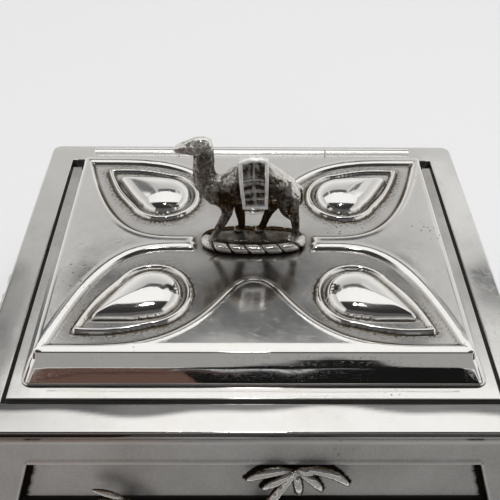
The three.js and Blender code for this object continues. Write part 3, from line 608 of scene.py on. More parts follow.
def makeLidBand():
    s = lidBand
    low, high = (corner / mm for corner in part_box("lid_band"))
    middle = (low.y + high.y) / 2
    bm = bmesh.new()
    bmesh.ops.create_cube(bm, size=2)
    ends = [f for f in bm.faces if abs(f.normal.z) > 0.5]
    bmesh.ops.delete(bm, geom=ends, context="FACES_ONLY")
    for v in bm.verts:
        halfX = (high.x - low.x) / 2 - (s["taper"] if v.co.z > 0 else 0)
        halfY = (high.y - low.y) / 2 - (s["taper"] if v.co.z > 0 else 0)
        z = high.z if v.co.z > 0 else low.z
        v.co = (math.copysign(halfX, v.co.x), middle + math.copysign(halfY, v.co.y), z)
    roundOff(bm, uprightEdges(bm), s["corner"], 6)
    bmesh.ops.subdivide_edges(bm, edges=uprightEdges(bm), cuts=s["rows"], use_grid_fill=True)
    runs = [e for e in bm.edges if e.calc_length() > 20]
    bmesh.ops.subdivide_edges(bm, edges=runs, cuts=s["columns"], use_grid_fill=True)
    bmesh.ops.recalc_face_normals(bm, faces=bm.faces)
    bm.normal_update()
    for v in bm.verts:
        t = (v.co.z - low.z) / (high.z - low.z)
        v.co += v.normal * float(np.interp(t, *s["proud"]))
    seam = [e for e in bm.edges if e.is_boundary and min(v.co.z for v in e.verts) > high.z - 0.01]
    for v in vertsIn(bmesh.ops.extrude_edge_only(bm, edges=seam)):  # the upper edge runs in under the top
        v.co.x -= math.copysign(s["tuck"], v.co.x)
        v.co.y -= math.copysign(s["tuck"], v.co.y - middle)
        v.co.z += s["tuck"] / 2
    bmesh.ops.solidify(bm, geom=bm.faces[:], thickness=s["thick"])
    piece = makePiece("lidBand", bm, "lid", mirrorSilver, "lid_band",
                      crease=0.9, hard=seam)
    foot = smoothStep(0.5, 0.2, coordsOf(piece.data)[:, 2] / mm - low.z)
    writePatinaAndShade(piece.data, 0.0, extra=s["footDirt"] * foot)


makeLidBand()


def makeSoft(name, node, body, material, width, lift=0.0):
    piece = keepFlats(makePiece(name, softened(node, width), body, material, node))
    writePatinaAndShade(piece.data, 0.0, lift)


flange = {"edge": 0.18, "tongue": 4.7, "tongueFind": 2.5, "dirt": 0.5, "darkeningSpan": (-20, 30)}


# the strips beside the hinge run on nearly to the back, and the flange gets darker from the front to the back
def makeFlange():
    s = flange
    bm = softened("lid_flange", s["edge"])
    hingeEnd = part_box("right_knuckle")[1].x / mm
    strips = [v for v in bm.verts if abs(v.co.x) > hingeEnd and abs(v.co.y - plateauHalf[1]) < s["tongueFind"]]
    bmesh.ops.translate(bm, vec=(0, s["tongue"], 0), verts=strips)
    piece = keepFlats(makePiece("lidFlange", bm, "lid", polishedSilver, "lid_flange"))
    co = coordsOf(piece.data) / mm
    writePatinaAndShade(piece.data, 0.0, extra=s["dirt"] * smoothStep(*s["darkeningSpan"], co[:, 1]))


makeFlange()
print("lid made")


wall = {
    "thick": 2.6, "flare": 0.33, "panelDrop": 5.6, "panelSide": 12.4, "panelFoot": 5.5, "panelDepth": 1.6,
    "horizonDrop": 9.0, "bankRise": 1.1, "bankRound": 4.0, "edge": 0.35, "bead": 0.2, "ripple": 0.14, "step": 0.35,
    "tone": 0.25, "hollowDirt": 5.0, "sandDarkening": 1.4, "edgeDirtAndShade": 0.95, "seamShadow": 1.3, "palmDirt": 1.3,
    "seam": 0.6, "seeds": {"front": 1.0, "right": 2.3, "back": 3.7, "left": 5.1},
}
rim = {"border": 5.85, "corner": 2.0, "edge": 0.5, "innerEdge": 0.25, "turned": 1.05, "cuts": (12, 61, 12),
       "smear": 0.9, "seam": 1.4, "leftDirt": 0.25}


def makeRim():
    s = rim
    low, high = (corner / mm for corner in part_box("top_rim"))
    bm = bmesh.new()
    bmesh.ops.create_grid(bm, x_segments=1, y_segments=1, size=1)
    bmesh.ops.scale(bm, vec=(high.x, high.y, 1), verts=bm.verts)
    bmesh.ops.translate(bm, vec=(0, 0, high.z), verts=bm.verts)
    border = bmesh.ops.inset_region(bm, faces=bm.faces[:], thickness=s["border"],
                                    use_boundary=True, use_even_offset=True)["faces"]
    bmesh.ops.delete(bm, geom=[f for f in bm.faces if f not in border], context="FACES_ONLY")
    body = bmesh.ops.extrude_face_region(bm, geom=bm.faces[:])
    bmesh.ops.translate(bm, vec=(0, 0, low.z - high.z), verts=vertsIn(body))
    bmesh.ops.recalc_face_normals(bm, faces=bm.faces)
    roundOff(bm, [e for e in uprightEdges(bm) if abs(e.verts[0].co.x) > high.x - 1], s["corner"], 10)

    def topEdges(outer):
        chosen = []
        for e in bm.edges:
            if min(v.co.z for v in e.verts) < high.z - 0.01:
                continue
            if not e.is_manifold or e.calc_face_angle() < 0.5:
                continue
            far = all(max(abs(v.co.x) - high.x, abs(v.co.y) - high.y) > -s["border"] + 0.5 for v in e.verts)
            if far == outer:
                chosen.append(e)
        return chosen

    roundOff(bm, topEdges(True), s["edge"], 5)
    roundOff(bm, topEdges(False), s["innerEdge"], 4)
    spans = ((Vector((0, 1, 0)), -high.y + 0.6, s["border"]), (Vector((1, 0, 0)), -high.x, 2 * high.x),
             (Vector((0, 0, 1)), low.z, high.z - low.z - s["edge"]))
    for (axis, start, reach), count in zip(spans, s["cuts"]):
        for i in range(count):
            bmesh.ops.bisect_plane(bm, geom=[*bm.verts, *bm.edges, *bm.faces], plane_no=axis,
                                   plane_co=axis * (start + reach * (i + 0.5) / count))
    piece = keepFlats(makePiece("topRim", bm, "case", rimSilver, "top_rim"))
    piece.data.materials.append(wallSilver)
    for face in piece.data.polygons:
        at = face.center / mm
        outer = max(abs(at.x) - high.x, abs(at.y) - high.y) > -1
        face.material_index = int(outer and high.z - at.z > s["turned"])
    x, y, z = (coordsOf(piece.data) / mm).T
    outside = np.maximum(np.abs(x) - high.x, np.abs(y) - high.y) > -1
    # painted shadow: a dark band on the outer face just under the rim's top
    shade = s["seam"] * outside * smoothStep(-0.2, -0.4, z - high.z) * smoothStep(-1.25, -1.05, z - high.z)
    shade += wall["tone"] * outside * (z < high.z - s["turned"])
    # darker towards the left end of the front strip
    shade += s["leftDirt"] * smoothStep(-18, -42, x) * (y < -high.y + s["border"] + 0.5)
    # painted reflection: a wavy dark smear across the front strip of the rim
    wave = 1.5 + 0.8 * np.sin(0.1 * x + 3.6) + 0.4 * np.sin(0.27 * x + 1)
    inward = -high.y + s["border"] - y
    smear = smoothStep(wave + 0.7, wave - 0.5, inward) * smoothStep(0.1, 0.5, inward + 0.12 * wave) * (y < 0)
    writePatinaAndShade(piece.data, 0.0, extra=shade + s["smear"] * smear)


makeRim()

rimLow, rimHigh = (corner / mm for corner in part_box("top_rim"))
wallTop = rimLow.z
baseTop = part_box("base_plate")[1].z / mm
stretch = math.hypot(1, wall["flare"])
slopeTurn = math.atan2(1, wall["flare"])
panelTopV = -wall["panelDrop"] * stretch
panelHeight = (wallTop - baseTop - wall["panelDrop"] - wall["panelFoot"]) * stretch
sides = {"front": (0, 0), "right": (math.pi / 2, 1), "back": (math.pi, 0), "left": (-math.pi / 2, 1)}


def sideFrame(name):
    turn, along = sides[name]
    half = (rimHigh.x, rimHigh.y)
    slope = Matrix.Translation((0, -half[1 - along], wallTop)) @ Matrix.Rotation(slopeTurn, 4, "X")
    return half[along], Matrix.Rotation(turn, 4, "Z") @ slope


palms = {
    "front_palm": ("front", (7, -1), -4, 1.05, 0),  # wall, crown, foot, size, turn
    "front_small_palm": ("front", (-22.9, -7.6), -20, 0.72, -0.6),
    "right_palm": ("right", (0.5, -2), -3.5, 1.0, 0), "back_palm": ("back", (4, -2), -2, 1.0, 0),
    "left_palm": ("left", (1.5, -2), 5, 1.0, 0),
}
palm = {
    "fronds": (((-7.9, -2.5), (-4.4, 1.7), 1.15), ((-5.2, -4.5), (-2.7, -0.8), 1.05),
               ((1, -5.8), (0.6, -1.5), 0.95), ((4.8, -5), (2.9, -0.1), 1.0),
               ((3.2, -1.8), (1.9, 1.8), 1.0), ((9.2, -3.6), (5.5, 2.3), 1.1)),
    "standOff": 0.2, "relief": 3.6, "trunkTop": 0.75, "trunkFoot": 1.15, "bow": 1.0, "thick": 0.45,
    "crown": 0.55, "bend": 0.95, "heart": 0.9, "ribs": 8, "edgeDirtAndShade": 1.1,
    "nuts": ((-0.35, -0.2), (0.4, -0.1), (0, -0.75), (0.05, 0.3)),
}


def bezier(a, b, c, t):
    return a * (1 - t) ** 2 + b * 2 * t * (1 - t) + c * t * t


def frondLine(tip, bend, size, turn):
    s = palm
    spin = Matrix.Rotation(turn, 3, "Z")
    return (Vector((0, 0, s["crown"] * s["relief"])),
            spin @ Vector((bend[0] * size, bend[1] * size, s["bend"] * s["relief"])),
            spin @ Vector((tip[0] * size, tip[1] * size, wall["bankRise"] + s["thick"])))


# points along a palm in the plane of its wall
def palmLine(node):
    _, (crownX, crownDrop), footX, size, turn = palms[node]
    crown = Vector((crownX, panelTopV + crownDrop))
    points = [crown.lerp(Vector((footX, panelTopV - panelHeight + 1.5)), i / 24) for i in range(25)]
    for tip, bend, _ in palm["fronds"]:
        line = frondLine(tip, bend, size, turn)
        points += [crown + bezier(*line, i / 14).xy for i in range(15)]
    return points


# closer lines where the panel's edge runs
def wallStops(low, high, edges, step):
    marks = [low]
    for e in edges:
        marks += [e - 0.9, e - 0.45, e - 0.25, e - 0.1, e, e + 0.1, e + 0.25, e + 0.45, e + 0.9]
    marks.append(high)
    stops = []
    for a, b in zip(marks, marks[1:]):
        count = max(1, round((b - a) / step))
        stops += list(np.linspace(a, b, count + 1)[:-1])
    return np.array(stops + [high])


def makeWall(name):
    s = wall
    halfRun, place = sideFrame(name)
    drop = (wallTop - baseTop) * stretch
    lean = s["flare"] / stretch
    panelHalf = halfRun - s["panelSide"]
    bottomV = panelTopV - panelHeight
    horizonV = panelTopV - s["horizonDrop"]
    us = wallStops(-halfRun, halfRun, [-panelHalf, panelHalf], s["step"])
    vs = wallStops(-drop, 0, [bottomV, horizonV, panelTopV], s["step"])
    bm = stoppedGrid(us, vs)
    seed = s["seeds"][name]

    def shape(co):
        u, v = co[:, 0], co[:, 1]
        shift = -lean * v
        x = u + np.sign(u) * shift * np.minimum(np.abs(u) / panelHalf, 1)
        toSide = panelHalf + shift - np.abs(x)
        inside = np.minimum(np.minimum(toSide, panelTopV - v), v - bottomV)
        sunk = smoothStep(-0.3 * s["edge"], s["edge"], inside)
        below = horizonV - v
        swell = np.clip(below / s["bankRound"], 0, 1)
        bank = s["bankRise"] * np.sqrt(1 - (1 - swell) ** 2)
        dune = 0.4 * np.sin(0.21 * x + seed) + 0.25 * np.sin(0.47 * x - 1.3 * seed + 0.25 * v)
        ripple = s["ripple"] * np.sin(2.1 * (v + dune)) * smoothStep(1, 6, below)
        z = sunk * (np.minimum(bank + ripple, s["panelDepth"]) - s["panelDepth"])
        z = z - s["seam"] * smoothStep(-0.7, -0.3, v)
        z = z + s["bead"] * np.exp(-((v - panelTopV - 0.3) / 0.22) ** 2) * (toSide > 0)
        return np.stack([x, v, z], 1)

    moveVerts(bm, shape)
    border = [e for e in bm.edges if e.is_boundary]
    back = vertsIn(bmesh.ops.extrude_edge_only(bm, edges=border))
    bmesh.ops.transform(bm, matrix=place, verts=bm.verts)
    unturn = Matrix.Rotation(-sides[name][0], 4, "Z")
    for v in back:
        at = unturn @ v.co
        run = halfRun + s["flare"] * (wallTop - at.z)
        v.co = unturn.inverted() @ Vector((at.x * (run - s["thick"]) / run, at.y + s["thick"], at.z))
    bmesh.ops.edgeloop_fill(bm, edges=[e for e in bm.edges if e.is_boundary])
    bmesh.ops.recalc_face_normals(bm, faces=bm.faces)
    piece = makePiece(f"{name}Wall", bm, "case", wallSilver, f"{name}_wall", crease=1.1)
    unplace = place.inverted()
    flat = coordsOf(piece.data) / mm @ np.array(unplace.to_3x3()).T + np.array(unplace.translation)
    x, v, z = flat.T
    inPanel = smoothStep(0.0, -0.4, z) * (v < panelTopV + 0.1)
    # darker below the horizon, darkest just under it
    sand = smoothStep(-0.15, 0.1, horizonV - v) * (0.35 + 0.65 * smoothStep(6, 1, horizonV - v)) * inPanel
    ragged = 0.12 * np.sin(2.3 * v) + 0.06 * np.sin(5.3 * v + x)
    toEdge = np.abs(panelHalf - lean * v - np.abs(x))
    walls = smoothStep(-0.1, -0.5, z) * smoothStep(1.9, 0.7, toEdge + ragged)
    # painted shadow: a dark band along the top of the wall, under the rim
    seam = smoothStep(-0.35, -0.2, v)
    shade = s["sandDarkening"] * sand + s["edgeDirtAndShade"] * walls + s["seamShadow"] * seam
    # painted shadow: the panel goes black just under and round the fronds of the big palms
    for node, (sideName, _, _, size, _) in palms.items():
        if sideName == name and size > 0.9:
            reach = np.full(len(x), 99.0)
            for px, pv in palmLine(node):
                reach = np.minimum(reach, np.hypot(x - px, v - pv + 0.7 * size))
            halo = s["palmDirt"] * smoothStep(0.8, 0.45, reach / size ** 2)
            shade = np.maximum(shade, halo * smoothStep(-0.8, -1.3, z))
    # painted highlight: the bead along the panel's top edge kept clean and bright
    wearAndHighlight = smoothStep(0.02, 0.12, z) * smoothStep(-0.3, 0, v - panelTopV)
    writePatinaAndShade(piece.data, s["hollowDirt"], s["tone"], rounds=2, extra=shade - s["tone"] * wearAndHighlight)


for sideName in sides:
    makeWall(sideName)
makeSoft("basePlate", "base_plate", "case", wallSilver, 0.2, lift=wall["tone"])
print("case made")

for sideName in sides:
    grain = cedarAlongX if sides[sideName][1] == 0 else cedarAlongY
    makeSoft(f"{sideName}Board", f"{sideName}_board", "case", grain, 0.4)
makeSoft("floorBoard", "floor_board", "case", cedarAlongX, 0.3)
print("carcass made")

hinge = {"radius": 1.5, "grow": 0.08, "bore": 0.95, "leaf": 0.7, "sides": 96, "edge": 0.16, "line": 2, "dirt": 0.8}
pinLow, pinHigh = (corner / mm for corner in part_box("hinge_pin"))
hingeY = (pinLow.y + pinHigh.y) / 2
hingeZ = (pinLow.z + pinHigh.z) / 2


def makeKnuckle(name, node, body):
    s = hinge
    low, high = (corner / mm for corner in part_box(node))
    x0, x1 = max(low.x - s["grow"], pinLow.x), min(high.x + s["grow"], pinHigh.x)
    bm = bmesh.new()
    lie = Matrix.Translation(((x0 + x1) / 2, hingeY, hingeZ)) @ Matrix.Rotation(math.pi / 2, 4, "Y")
    bmesh.ops.create_cone(bm, cap_ends=True, segments=s["sides"], radius1=s["radius"], radius2=s["radius"],
                          depth=x1 - x0, matrix=lie)
    ends = [f for f in bm.faces if abs(f.normal.x) > 0.9]
    bmesh.ops.inset_region(bm, faces=ends, thickness=s["radius"] - s["bore"])
    mouths = vertsIn(bmesh.ops.extrude_face_region(bm, geom=ends))
    bmesh.ops.delete(bm, geom=ends, context="FACES_ONLY")
    for v in mouths:
        v.co.x -= math.copysign(2.0, v.co.x - (x0 + x1) / 2)
    rounds = [e for e in bm.edges if e.is_manifold and e.calc_face_angle() > 1.2
              and Vector((0, e.verts[0].co.y - hingeY, e.verts[0].co.z - hingeZ)).length > s["radius"] - 0.05]
    roundOff(bm, rounds, s["edge"])
    leafY = (low.y, hingeY) if body == "lid" else (hingeY, high.y)
    leafZ = low.z if body == "case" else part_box("lid_flange")[1].z / mm
    size = (x1 - x0, leafY[1] - leafY[0], s["leaf"])
    centre = ((x0 + x1) / 2, (leafY[0] + leafY[1]) / 2, leafZ + s["leaf"] / 2)
    made = bmesh.ops.create_cube(bm, size=1, matrix=Matrix.Translation(centre) @ Matrix.Diagonal((*size, 1)))
    edges = {e for v in made["verts"] for e in v.link_edges}
    roundOff(bm, list(edges), s["edge"])
    piece = keepFlats(makePiece(name, bm, body, frostedSilver, node))
    # painted reflection: a dark stripe along the top of the tube
    _, y, z = (coordsOf(piece.data) / mm).T
    turn = np.degrees(np.arctan2(hingeY - y, z - hingeZ))
    writePatinaAndShade(piece.data, 0.0, extra=s["dirt"] * smoothStep(9, 3, np.abs(turn - s["line"])))


makeKnuckle("lidKnuckle", "lid_knuckle", "lid")
makeKnuckle("leftKnuckle", "left_knuckle", "case")
makeKnuckle("rightKnuckle", "right_knuckle", "case")
for nodeName in ("hinge_pin", "finial_stud", "finial_washer", "finial_nut"):
    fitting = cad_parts[nodeName]
    fitting.data.materials.clear()
    fitting.data.materials.append(fittingBrass)
print("hinge made")

plinth = {"length": 17.2, "depth": 3.4, "height": 2.3, "foot": 0.3, "grow": 1.05, "square": 0.8, "sides": 96,
          "dirt": 0.95}


def ovalPoint(angle, grow):
    def bow(c):
        return math.copysign(abs(c) ** plinth["square"], c)
    return Vector(((plinth["length"] / 2 + grow) * bow(math.cos(angle)),
                   (plinth["depth"] / 2 + grow) * bow(math.sin(angle)), 0))


def makePlinth():
    s = plinth
    bm = bmesh.new()
    levels = ((s["grow"], 0), (s["grow"], s["foot"] - 0.12), (s["grow"] - 0.12, s["foot"]), (0.12, s["foot"]),
              (0, s["foot"] + 0.12), (0, s["height"] - 0.3), (-0.1, s["height"] - 0.09), (-0.3, s["height"]))
    loops = []
    for grow, z in levels:
        loops.append(ring(bm, s["sides"], Matrix()))
        for v in loops[-1]:
            v.co = ovalPoint(math.atan2(v.co.y, v.co.x), grow) + Vector((0, 0, z))
    bridge(bm, loops)
    bmesh.ops.recalc_face_normals(bm, faces=bm.faces)
    bmesh.ops.translate(bm, vec=(0, plateauY, sunkFloor), verts=bm.verts)
    piece = keepFlats(makePiece("ovalPlinth", bm, "lid", castSilver, "plinth"))
    writePatinaAndShade(piece.data, 0.0, s["dirt"])


makePlinth()

rope = {"radius": 0.95, "lift": 0.1, "run": 1.05, "lobes": 13, "steps": 520, "sides": 28, "groove": 0.3,
        "wire": 0.05, "dirt": 0.04, "grooveDirt": 1.1, "wireDirt": 0.45, "lowShade": 0.65, "backDirt": 1.2}


# a cord: the groove between its plies winds once round it for every lobe
def makeRope():
    s = rope
    path = [ovalPoint(2 * math.pi * i / s["steps"], s["run"]) for i in range(s["steps"])]
    lengths = np.array([(path[i] - path[i - 1]).length for i in range(s["steps"])])
    travel = np.cumsum(lengths) / lengths.sum()
    up = Vector((0, 0, 1))
    bm = bmesh.new()
    depth = bm.verts.layers.float.new("patina")
    loops = []
    for i, middle in enumerate(path):
        along = path[(i + 1) % s["steps"]] - path[i - 1]
        loops.append(ring(bm, s["sides"], ringMatrix(Vector(), along, up, 1, 1)))
        for k, v in enumerate(loops[-1]):
            phase = (k / s["sides"] - s["lobes"] * travel[i]) % 1 - 0.5
            groove = math.exp(-(phase / 0.08) ** 2)
            wire = math.sin(2 * math.pi * 9 * phase)
            # painted shade: the underside of the cord darker; the cord also darker towards the back
            low = smoothStep(0.35, -0.6, v.co.z)
            v[depth] = (s["dirt"] + s["grooveDirt"] * groove + s["wireDirt"] * max(0, -wire) + s["lowShade"] * low
                        + s["backDirt"] * smoothStep(0, 1.2, middle.y))
            size = s["radius"] * (1 - s["groove"] * groove + s["wire"] * wire)
            v.co = middle + v.co * size + up * (s["radius"] + s["lift"])
    bridge(bm, loops, closed=True)
    bmesh.ops.recalc_face_normals(bm, faces=bm.faces)
    bmesh.ops.translate(bm, vec=(0, plateauY, sunkFloor), verts=bm.verts)
    makePiece("ropeBorder", bm, "lid", castSilver, "rope_border")


makeRope()
print("plinth made")

camel = {
    "trunk": ((-10.3, 12.5, 11.3, 0.6), (-8.8, 15, 9, 1.8), (-6.2, 15.2, 7.9, 2.4), (-3.4, 17.7, 8, 2.5),
              (0, 18.8, 8.3, 2.5), (3, 17.9, 8.4, 2.5), (6.4, 14.9, 8.3, 2.4), (8.3, 12.6, 9, 1.6),
              (8.9, 11.4, 10, 0.6)),  # place, back, belly, half width
    "humpNarrow": 0.32, "sides": 28, "slices": 32,
    "neck": ((-6.6, 11.6), (-8.8, 13.6), (-9.4, 16.6), (-9.2, 19.4), (-8.9, 21.9)),
    "neckSizes": (3.2, 2.6, 2, 1.9, 1.6), "neckAcross": 0.8,
    "head": ((-7.7, 21.8), (-8.9, 21.92), (-10.6, 21.7), (-12.4, 21.4), (-14.1, 21.1), (-14.8, 20.95)),
    "headSizes": (0.8, 1.8, 1.8, 1.4, 0.85, 0.4), "headAcross": 0.78,
    "tail": ((8.2, 12.9), (9, 11.2), (8.9, 8.2)), "tailSizes": (0.5, 0.4, 0.55),
    "legs": ((-1, 1.9, 1.2, ((-5.6, 10.6), (-5.2, 7.6), (-5.7, 5.6), (-7.4, 2), (-8, 0.5))),
             (1, 1.8, 1.1, ((-3.8, 10.6), (-3.1, 7.6), (-2.7, 5.2), (-2.4, 2), (-2.6, 0.5))),
             (1, 2.3, 1.7, ((5, 11.4), (3.9, 8), (3, 5.2), (2, 2), (1.6, 0.5))),
             (-1, 2.5, 2, ((6.5, 11.6), (6.7, 8.4), (7.9, 5.6), (8.3, 2), (8.1, 0.5)))),
    "legGap": 1.4, "shin": (1.0, 0.78, 0.85), "legAcross": 0.8, "voxel": 0.14, "smooth": 18, "fur": 0.1,
    "knee": (0.95, 0.75, 0.9), "toe": (1.1, 0.48, 0.5), "toeGap": 0.38,
    "pairs": ((-8.0, 1.05, 22.4, 0.4, 0.35, 0.35), (-10.7, 1.15, 22.3, 0.55, 0.35, 0.4),  # ears, brows
              (-14.2, 0.4, 21.25, 0.4, 0.3, 0.3), (5.9, 1.5, 11.2, 2.3, 1.2, 2.9),  # nostrils, haunches
              (-5.4, 1.6, 11.4, 1.9, 1.0, 2.6)),  # shoulders
    "hollowDirt": 5.0, "dirt": 1.05, "farLegShade": 0.4,
    # back and rump: partly wear, partly painted highlight on faces turned to the light; feet, head and neck: wear
    "wear": {"back": 0.65, "rump": 0.5, "feet": 0.4, "head": 0.5, "neck": 0.2},
}
camelFoot = sunkFloor + plinth["height"]


def sizesAlong(sizes, steps):
    return [p[0].x for p in lineThrough([(v, 0, 0) for v in sizes], steps)]


def addBar(bm, points, sizes, across, sides=16, steps=24):
    rings = []
    for (at, along), size in zip(lineThrough(points, steps), sizesAlong(sizes, steps)):
        size = max(size, 0.1)
        rings.append(ringMatrix(at, along, Vector((0, 1, 0)), size * across, size))
    sweep(bm, rings, sides)


def addBall(bm, x, y, z, rx, ry, rz):
    place = Matrix.Translation((x, y, z)) @ Matrix.Diagonal((rx, ry, rz, 1))
    bmesh.ops.create_uvsphere(bm, u_segments=20, v_segments=12, radius=1, matrix=place)


def trunkSection(t):
    lines = lineThrough([(x, back, belly) for x, back, belly, _ in camel["trunk"]], 64)
    widths = lineThrough([(x, half, 0) for x, _, _, half in camel["trunk"]], 64)
    k = min(int(t * 64), 63)
    f = t * 64 - k
    at = lines[k][0].lerp(lines[k + 1][0], f)
    return at.x, at.y, at.z, widths[k][0].lerp(widths[k + 1][0], f).y


def trunkPoint(section, angle, grow):
    x, back, belly, half = section
    height = math.sin(angle)
    narrow = 1 - camel["humpNarrow"] * max(height, 0) ** 2
    z = (back + belly) / 2 + ((back - belly) / 2 + grow) * height
    return Vector((x, (half + grow) * narrow * math.cos(angle), z))


def makeCamel():
    s = camel
    bm = bmesh.new()
    loops = []
    for i in range(s["slices"] + 1):
        section = trunkSection(i / s["slices"])
        loops.append(ring(bm, s["sides"], Matrix()))
        for v in loops[-1]:
            v.co = trunkPoint(section, math.atan2(v.co.y, v.co.x), 0)
    bridge(bm, loops)

    def profile(line):
        return [(x, 0, z) for x, z in line]

    addBar(bm, profile(s["neck"]), s["neckSizes"], s["neckAcross"])
    addBar(bm, profile(s["head"]), s["headSizes"], s["headAcross"])
    addBar(bm, profile(s["tail"]), s["tailSizes"], 1, 10, 12)
    for sign, hip, thigh, route in s["legs"]:
        spread = [sign * s["legGap"] * (0.85 + 0.15 * i / 4) for i in range(5)]
        root = (route[0][0], 0.3 * spread[0], route[0][1] + 1.2 * hip)
        line = [root, *((x, y, z) for (x, z), y in zip(route, spread))]
        addBar(bm, line, (0.3 * hip, 0.9 * hip, thigh, *s["shin"]), s["legAcross"], 14)
        footX = route[4][0]
        kneeX, kneeZ = route[2]
        addBall(bm, kneeX, spread[2], kneeZ, *s["knee"])
        for toe in (-s["toeGap"], s["toeGap"]):
            addBall(bm, footX - 0.45, spread[4] + toe, 0.5, *s["toe"])
    for sign in (-1, 1):
        for x, y, z, *size in s["pairs"]:
            addBall(bm, x, sign * y, z, *size)
    bmesh.ops.recalc_face_normals(bm, faces=bm.faces)
    rough = bpy.data.meshes.new("camelRough")
    bm.to_mesh(rough)
    bm.free()
    holder = bpy.data.objects.new("camelRough", rough)
    bpy.context.scene.collection.objects.link(holder)
    remesh = holder.modifiers.new("fuse", "REMESH")
    remesh.mode = "VOXEL"
    remesh.voxel_size = s["voxel"]
    bpy.context.view_layer.update()
    fused = bpy.data.meshes.new_from_object(holder.evaluated_get(bpy.context.evaluated_depsgraph_get()))
    bpy.data.objects.remove(holder)
    bpy.data.meshes.remove(rough)
    bm = bmesh.new()
    bm.from_mesh(fused)
    bpy.data.meshes.remove(fused)
    for _ in range(s["smooth"]):
        bmesh.ops.smooth_vert(bm, verts=bm.verts, factor=0.5,
                              use_axis_x=True, use_axis_y=True, use_axis_z=True)
    bm.normal_update()
    for v in bm.verts:
        p = v.co
        coat = noise.fractal(Vector((p.x, p.y, 0.7 * p.z)), 0.9, 2.1, 3)
        mane = 1.6 if p.x < -6.5 and p.z < 21 else 1.0
        calm = min(1.0, max(0.25, p.z / 5))
        v.co = p + v.normal * s["fur"] * mane * calm * coat
    bmesh.ops.translate(bm, vec=(0, plateauY, camelFoot), verts=bm.verts)
    piece = makePiece("castCamel", bm, "lid", castSilver, "camel")
    x, y, z = (coordsOf(piece.data) / mm - np.array([0, plateauY, camelFoot])).T
    facing = normalsOf(piece.data)
    wear = s["wear"]
    # back and rump faces turned up and to the rear kept clean: partly wear, partly painted highlight from the
    # overhead light; feet, head and front of the neck: wear
    wearAndHighlight = wear["back"] * smoothStep(0.2, 0.85, facing[:, 2]) * smoothStep(9, 12, z)
    rump = smoothStep(0.5, 0.9, 0.7 * facing[:, 0] + 0.7 * facing[:, 2]) * smoothStep(2, 4, x)
    wearAndHighlight += wear["rump"] * rump * smoothStep(7, 10, z)
    wearAndHighlight += wear["feet"] * smoothStep(1.6, 0.4, z) + wear["head"] * smoothStep(20.6, 22.4, z)
    wearAndHighlight += wear["neck"] * smoothStep(-6, -8, x) * smoothStep(10, 13, z)
    # painted shade: the far legs darker
    farLegs = s["farLegShade"] * smoothStep(0.2, 0.8, y) * smoothStep(9, 7, z)
    writePatinaAndShade(piece.data, s["hollowDirt"], s["dirt"], rounds=8, extra=farLegs - wearAndHighlight)


makeCamel()
print("camel made")

cloth = {"span": (0.392, 0.607), "hem": 9.6, "lift": 0.36, "border": 0.24, "borderWidth": 0.78, "tier": 0.43,
         "columns": 56, "rows": 200, "thick": 0.3, "taper": 0.14, "swing": 0.35, "over": 0.62,
         "shine": 0.85, "mottle": 0.3}


# raised bars stand proud and bright, the squares between them lie deep and dark
def clothPattern(toEdge, side, drop):
    s = cloth
    bar = smoothStep(s["borderWidth"], s["borderWidth"] - 0.2, toEdge)
    bar = max(bar, smoothStep(0.93, 0.95, drop), smoothStep(0.17, 0.14, drop))
    bar = max(bar, 0.4 * smoothStep(0.03, 0.015, abs(drop - s["tier"] - 0.06)))
    if drop > s["tier"]:
        rung = (drop - s["tier"]) / (0.93 - s["tier"]) * 3
        bar = max(bar, 0.35 * smoothStep(0.2, 0.1, abs(rung - round(rung))))
        bar = max(bar, 0.35 * smoothStep(0.3, 0.16, abs(abs(side) - 0.1)))
    else:
        bar = max(bar, 0.35 * smoothStep(0.24, 0.12, abs(side)))
    return float(bar)


def makeCloth():
    s = cloth
    bm = stoppedGrid(np.linspace(0, 1, s["columns"] + 1), np.linspace(-1, 1, s["rows"] + 1))
    tone = bm.verts.layers.float.new("patina")
    first, last = s["span"]
    sections = [trunkSection(first + (last - first) * i / s["columns"]) for i in range(s["columns"] + 1)]
    middle = (sections[0][0] + sections[-1][0]) / 2
    for v in bm.verts:
        section = sections[round(v.co.x * s["columns"])]
        w = v.co.y
        side = section[0] - middle
        bar = clothPattern(sections[-1][0] - middle - abs(side), side, abs(w))
        lift = s["lift"] + s["border"] * bar
        v[tone] = 1.0 - s["shine"] * bar + s["mottle"] * noise.noise(Vector((1.3 * section[0], 9 * w, 0)))
        around = max(-1, min(1, w / s["over"]))
        at = trunkPoint(section, math.pi / 2 - around * math.pi / 2, lift)
        fall = max(0, (abs(w) - s["over"]) / (1 - s["over"]))
        at.z += (s["hem"] - at.z) * fall
        hang = smoothStep(0.2, 1, abs(w))
        at.x = middle + side * (1 - s["taper"] * hang) + s["swing"] * hang
        v.co = at
    bmesh.ops.recalc_face_normals(bm, faces=bm.faces)
    bmesh.ops.solidify(bm, geom=bm.faces[:], thickness=s["thick"])
    bmesh.ops.translate(bm, vec=(0, plateauY, camelFoot), verts=bm.verts)
    makePiece("saddleCloth", bm, "lid", frostedSilver)


makeCloth()
print("saddle cloth made")


